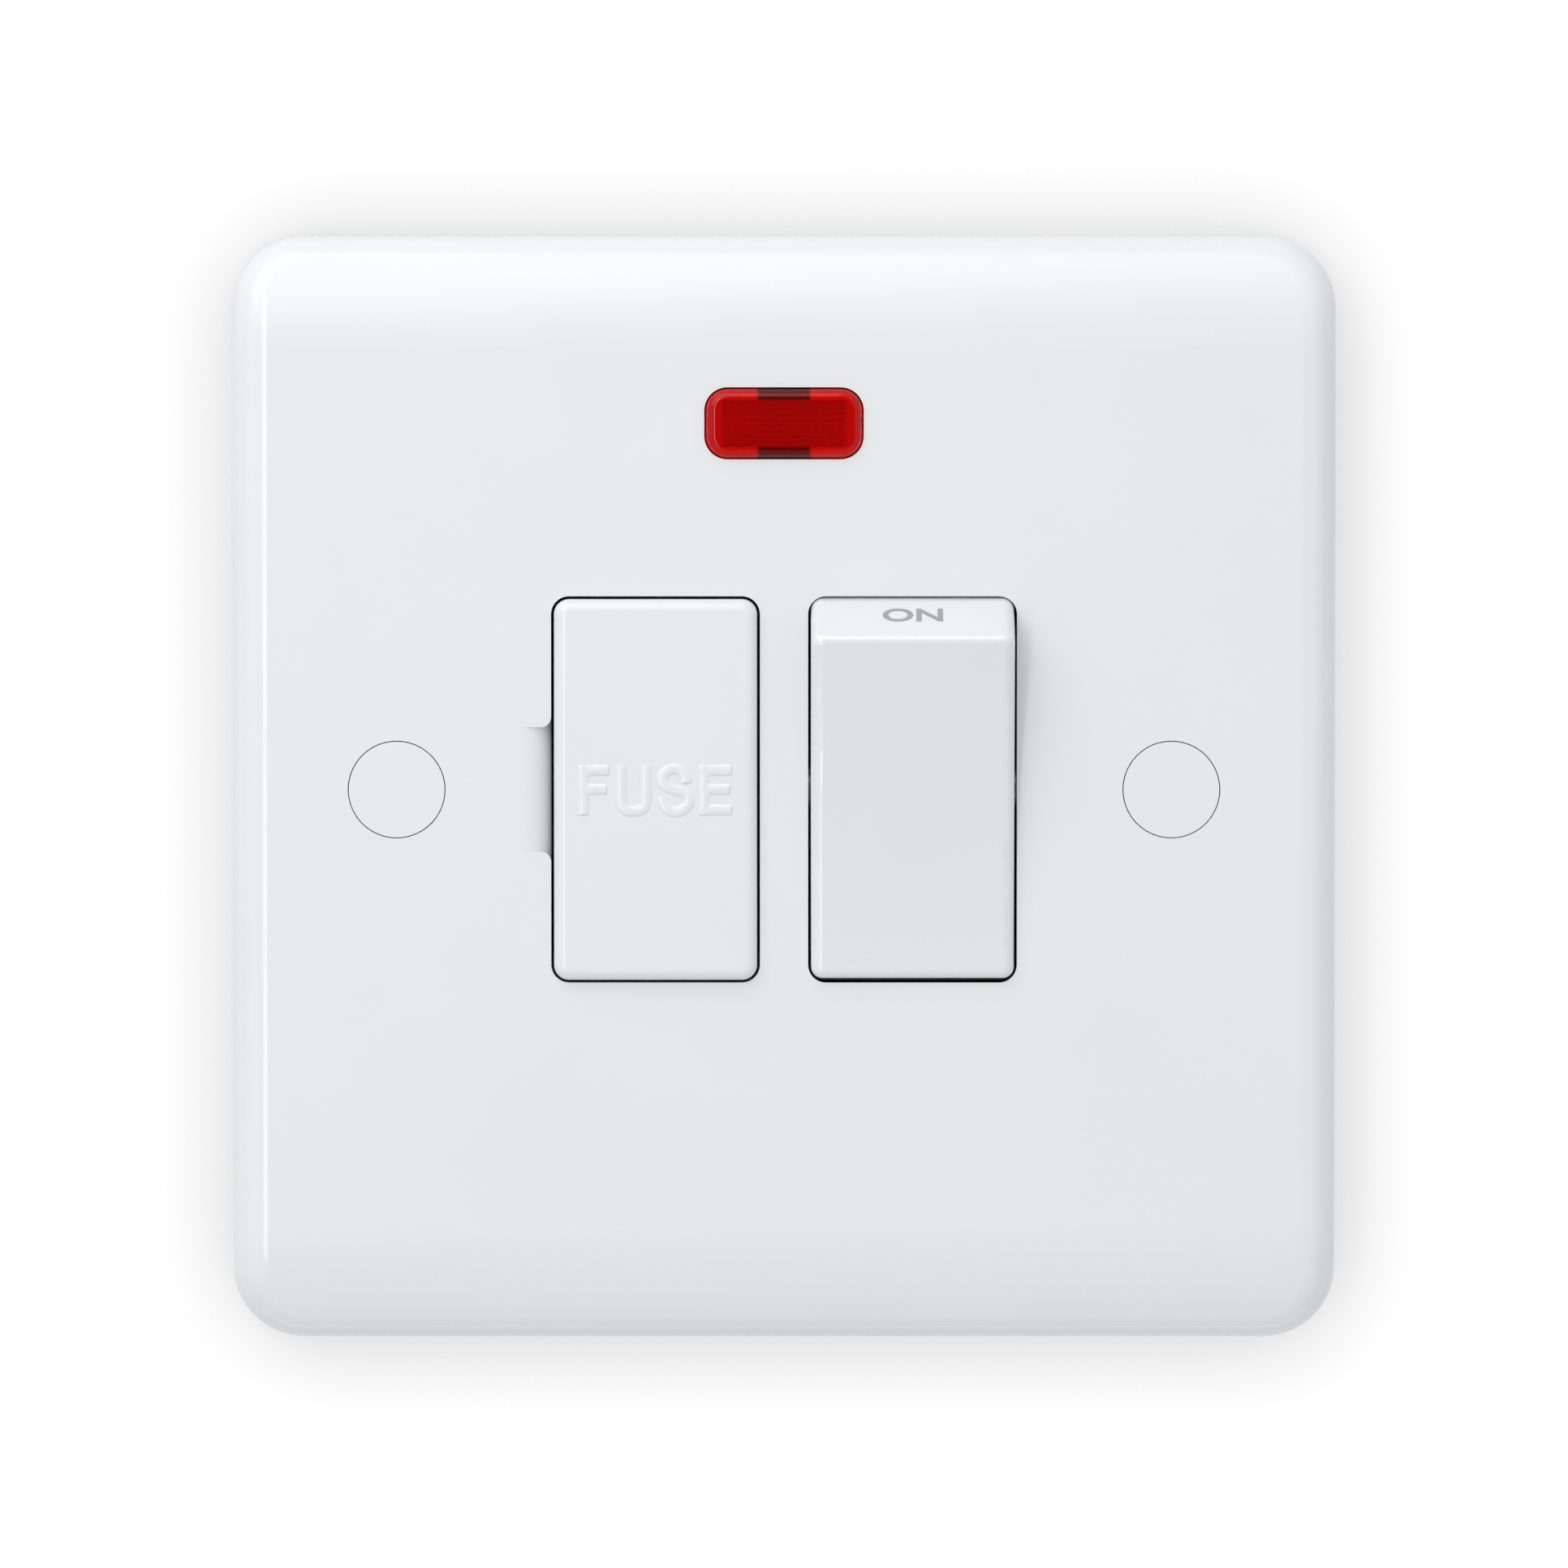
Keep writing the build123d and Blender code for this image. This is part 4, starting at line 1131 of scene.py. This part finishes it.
class SPUR_OT_plunger_springs(bpy.types.Operator):
    """Wind the plungers' springs, which ride on the rocker"""

    bl_idname = "spur.plunger_springs"
    bl_label = "Wind Plunger Springs"

    def execute(self, context):
        sizes = context.scene.spur_sizes
        for pole in ("live", "neutral"):
            node = f"{pole}_spring"
            name = f"{pole}_plunger_slide"
            slide = next(joint for joint in frame["joints"] if joint["name"] == name)
            axis = Vector(slide["axis"])
            low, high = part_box(node)
            middle = (low + high) / 2
            points = frame["nodes"][node].data.vertices
            length = 2 * max(axis.dot(point.co - middle) for point in points)
            coil = self.coil(sizes, (high.x - low.x) / 2, length)
            seat(coil, middle, atan2(-axis.y, axis.z))
            finish = bpy.data.materials["spring_wire"]
            own(coil, f"{pole}_spring_coil", finish, "rocker")
            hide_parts(node)
            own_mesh(coil)
        return {"FINISHED"}

    def coil(self, sizes, radius, length):
        """A round wire wound along Z, capped at both ends and centred on the origin."""
        wire = sizes.spring_wire
        deselect()
        bpy.ops.mesh.primitive_circle_add(
            vertices=12,
            radius=wire / 2,
            location=(radius - wire / 2, 0, (wire - length) / 2),
            rotation=(radians(90), 0, 0),
        )
        coil = bpy.context.object
        bpy.ops.object.transform_apply(location=True, rotation=True, scale=True)
        wind = coil.modifiers.new("wind", "SCREW")
        wind.axis = "Z"
        wind.screw_offset = (length - wire) / sizes.spring_turns
        wind.iterations = sizes.spring_turns
        wind.steps = sizes.spring_steps
        wind.render_steps = sizes.spring_steps
        apply_modifier(coil, "wind")
        bpy.ops.object.mode_set(mode="EDIT")
        bpy.ops.mesh.select_all(action="SELECT")
        bpy.ops.mesh.remove_doubles(threshold=wire / 100)
        bpy.ops.mesh.select_all(action="DESELECT")
        bpy.ops.mesh.select_mode(type="EDGE")
        bpy.ops.mesh.select_non_manifold()
        bpy.ops.mesh.fill_holes(sides=0)
        bpy.ops.mesh.select_all(action="SELECT")
        bpy.ops.mesh.normals_make_consistent(inside=False)
        bpy.ops.object.mode_set(mode="OBJECT")
        bpy.ops.object.shade_smooth_by_angle(angle=WOUND_ANGLE)
        return coil


class SPUR_OT_studio(bpy.types.Operator):
    """Set up the wall, the lamps, the sky and the camera"""

    bl_idname = "spur.studio"
    bl_label = "Set Up Studio"

    def execute(self, context):
        studio = context.scene.spur_studio
        self.wall(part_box("front_plate")[1].x)
        powers = (studio.key_power, studio.strip_power, studio.low_power, studio.back_power)
        for (name, place, size), power in zip(LAMPS, powers):
            self.lamp(name, place, size, power)
        self.sky(studio.sky_strength)
        self.camera(studio)
        context.scene.view_settings.view_transform = "Standard"
        return {"FINISHED"}

    def wall(self, plate_half):
        """A pale wall behind the plate, open where the housing goes through it."""
        deselect()
        bpy.ops.mesh.primitive_plane_add(
            size=2 * WALL_HALF,
            location=(0, WALL_SETBACK, 0),
            rotation=(radians(90), 0, 0),
        )
        wall = bpy.context.object
        bpy.ops.object.mode_set(mode="EDIT")
        bpy.ops.mesh.inset(thickness=WALL_HALF - plate_half + WALL_OVERLAP)
        bpy.ops.mesh.bevel(offset=WALL_CORNER, segments=8, affect="VERTICES")
        bpy.ops.object.mode_set(mode="OBJECT")
        pick(wall, "FACE", lambda face: face.center.length < plate_half / 4)
        bpy.ops.mesh.delete(type="FACE")
        bpy.ops.object.mode_set(mode="OBJECT")
        bpy.ops.object.transform_apply(location=True, rotation=True, scale=True)
        wall.name = "wall"
        wall.data.materials.append(self.wall_paint())

    def looked_at(self, tree, rays):
        """1 for the camera's rays and those that went through something clear, and else 0."""
        return maths(tree, "MAXIMUM", rays["Is Camera Ray"], rays["Is Transmission Ray"])

    def wall_paint(self):
        """White paint that keeps the lamps' shadow, with a painted shadow in its glow near the plate,
        and is open from behind.
        """
        finish = bpy.data.materials.new("wall_paint")
        finish.use_nodes = True
        tree = finish.node_tree
        tree.nodes.clear()
        output = tree.nodes.new("ShaderNodeOutputMaterial")
        paint = tree.nodes.new("ShaderNodeBsdfDiffuse")
        paint.inputs["Color"].default_value = (WALL_BOUNCE, WALL_BOUNCE, WALL_BOUNCE, 1)
        shade = tree.nodes.new("ShaderNodeBsdfDiffuse")
        shade.inputs["Color"].default_value = (WALL_SHADE, WALL_SHADE, WALL_SHADE, 1)
        # Painted shadow: ambient occlusion dims the wall's glow where the plate is near
        painted_shadow_ao = tree.nodes.new("ShaderNodeAmbientOcclusion")
        painted_shadow_ao.samples = 8
        painted_shadow_ao.inputs["Distance"].default_value = PAINTED_SHADOW_REACH
        glow = tree.nodes.new("ShaderNodeEmission")
        glow_with_painted_shadow = maths(tree, "MULTIPLY_ADD", painted_shadow_ao.outputs["AO"], PAINTED_SHADOW_DEPTH, WALL_GLOW)
        tree.links.new(glow_with_painted_shadow, glow.inputs["Strength"])
        seen = tree.nodes.new("ShaderNodeAddShader")
        tree.links.new(shade.outputs[0], seen.inputs[0])
        tree.links.new(glow.outputs[0], seen.inputs[1])
        rays = tree.nodes.new("ShaderNodeLightPath").outputs
        front = tree.nodes.new("ShaderNodeMixShader")
        seen_at_all = maths(tree, "MAXIMUM", self.looked_at(tree, rays), rays["Is Glossy Ray"])
        tree.links.new(seen_at_all, front.inputs[0])
        tree.links.new(paint.outputs[0], front.inputs[1])
        tree.links.new(seen.outputs[0], front.inputs[2])
        side = tree.nodes.new("ShaderNodeNewGeometry")
        clear = tree.nodes.new("ShaderNodeBsdfTransparent")
        whole = tree.nodes.new("ShaderNodeMixShader")
        tree.links.new(side.outputs["Backfacing"], whole.inputs[0])
        tree.links.new(front.outputs[0], whole.inputs[1])
        tree.links.new(clear.outputs[0], whole.inputs[2])
        tree.links.new(whole.outputs[0], output.inputs["Surface"])
        return finish

    def lamp(self, name, place, size, power):
        """A soft rectangular lamp, aimed at the origin."""
        data = bpy.data.lights.new(name, "AREA")
        data.shape = "RECTANGLE"
        data.size, data.size_y = size
        data.energy = power
        lamp = bpy.data.objects.new(name, data)
        lamp.location = place
        lamp.rotation_euler = (-Vector(place)).to_track_quat("-Z", "Y").to_euler()
        bpy.context.scene.collection.objects.link(lamp)

    def sky(self, strength):
        """Soft light, most from in front and above, but dark in front where it is mirrored."""
        world = bpy.data.worlds.new("studio_sky")
        bpy.context.scene.world = world
        world.use_nodes = True
        tree = world.node_tree
        towards = parts_of(tree, tree.nodes.new("ShaderNodeTexCoord").outputs["Generated"])
        lean = 1.0
        for axis, share in zip("XYZ", SKY_LEAN):
            lean = maths(tree, "MULTIPLY_ADD", towards[axis], share, lean)
        light = maths(tree, "MULTIPLY", lean, strength)
        gloom = slope(tree, towards["Y"], *GLOOM_EDGE, GLOOM_SHARE, 1.0)
        rays = tree.nodes.new("ShaderNodeLightPath").outputs
        height = maths(tree, "MULTIPLY_ADD", towards["Z"], MIRRORED_RISE, MIRRORED_LEVEL)
        studio = maths(tree, "MULTIPLY", gloom, height)
        mirrored = between(tree, rays["Is Glossy Ray"], light, studio)
        # Where the sky itself is looked at, it is plain white
        shown = between(tree, self.looked_at(tree, rays), mirrored, 1.0)
        sky = tree.nodes["Background"]
        sky.inputs["Color"].default_value = (1, 1, 1, 1)
        tree.links.new(shown, sky.inputs["Strength"])

    def camera(self, studio):
        """Camera in front of the plate, a little above its normal."""
        data = bpy.data.cameras.new("camera")
        data.sensor_width = 36
        data.lens = data.sensor_width * studio.camera_distance / studio.view_width
        data.clip_end = 10
        camera = bpy.data.objects.new("camera", data)
        rise = studio.camera_rise
        camera.location = Vector((0, -cos(rise), sin(rise))) * studio.camera_distance
        camera.rotation_euler = (pi / 2 - rise, 0, 0)
        bpy.context.scene.collection.objects.link(camera)
        bpy.context.scene.camera = camera


STEPS = (
    SPUR_OT_mouldings,
    SPUR_OT_metalwork,
    SPUR_OT_indicator,
    SPUR_OT_fuse_word,
    SPUR_OT_on_word,
    SPUR_OT_terminal_marks,
    SPUR_OT_fixing_screws,
    SPUR_OT_plunger_springs,
    SPUR_OT_studio,
)


class SPUR_PT_unit(bpy.types.Panel):
    """The steps that dress the unit, in order"""

    bl_idname = "SPUR_PT_unit"
    bl_label = "Fused Spur Unit"
    bl_space_type = "VIEW_3D"
    bl_region_type = "UI"
    bl_category = "Spur Unit"

    def draw(self, context):
        for step in STEPS:
            self.layout.operator(step.bl_idname)


CLASSES = (SpurSizes, SpurFinishes, SpurStudio, *STEPS, SPUR_PT_unit)


def register():
    for entry in CLASSES:
        bpy.utils.register_class(entry)
    bpy.types.Scene.spur_sizes = PointerProperty(type=SpurSizes)
    bpy.types.Scene.spur_finishes = PointerProperty(type=SpurFinishes)
    bpy.types.Scene.spur_studio = PointerProperty(type=SpurStudio)


def unregister():
    del bpy.types.Scene.spur_studio
    del bpy.types.Scene.spur_finishes
    del bpy.types.Scene.spur_sizes
    for entry in reversed(CLASSES):
        bpy.utils.unregister_class(entry)


def main():
    """Dress the unit step by step."""
    register()
    bpy.ops.spur.mouldings()
    bpy.ops.spur.metalwork()
    bpy.ops.spur.indicator()
    bpy.ops.spur.fuse_word()
    bpy.ops.spur.on_word()
    bpy.ops.spur.terminal_marks()
    bpy.ops.spur.fixing_screws()
    bpy.ops.spur.plunger_springs()
    bpy.ops.spur.studio()


if __name__ == "__main__":
    main()
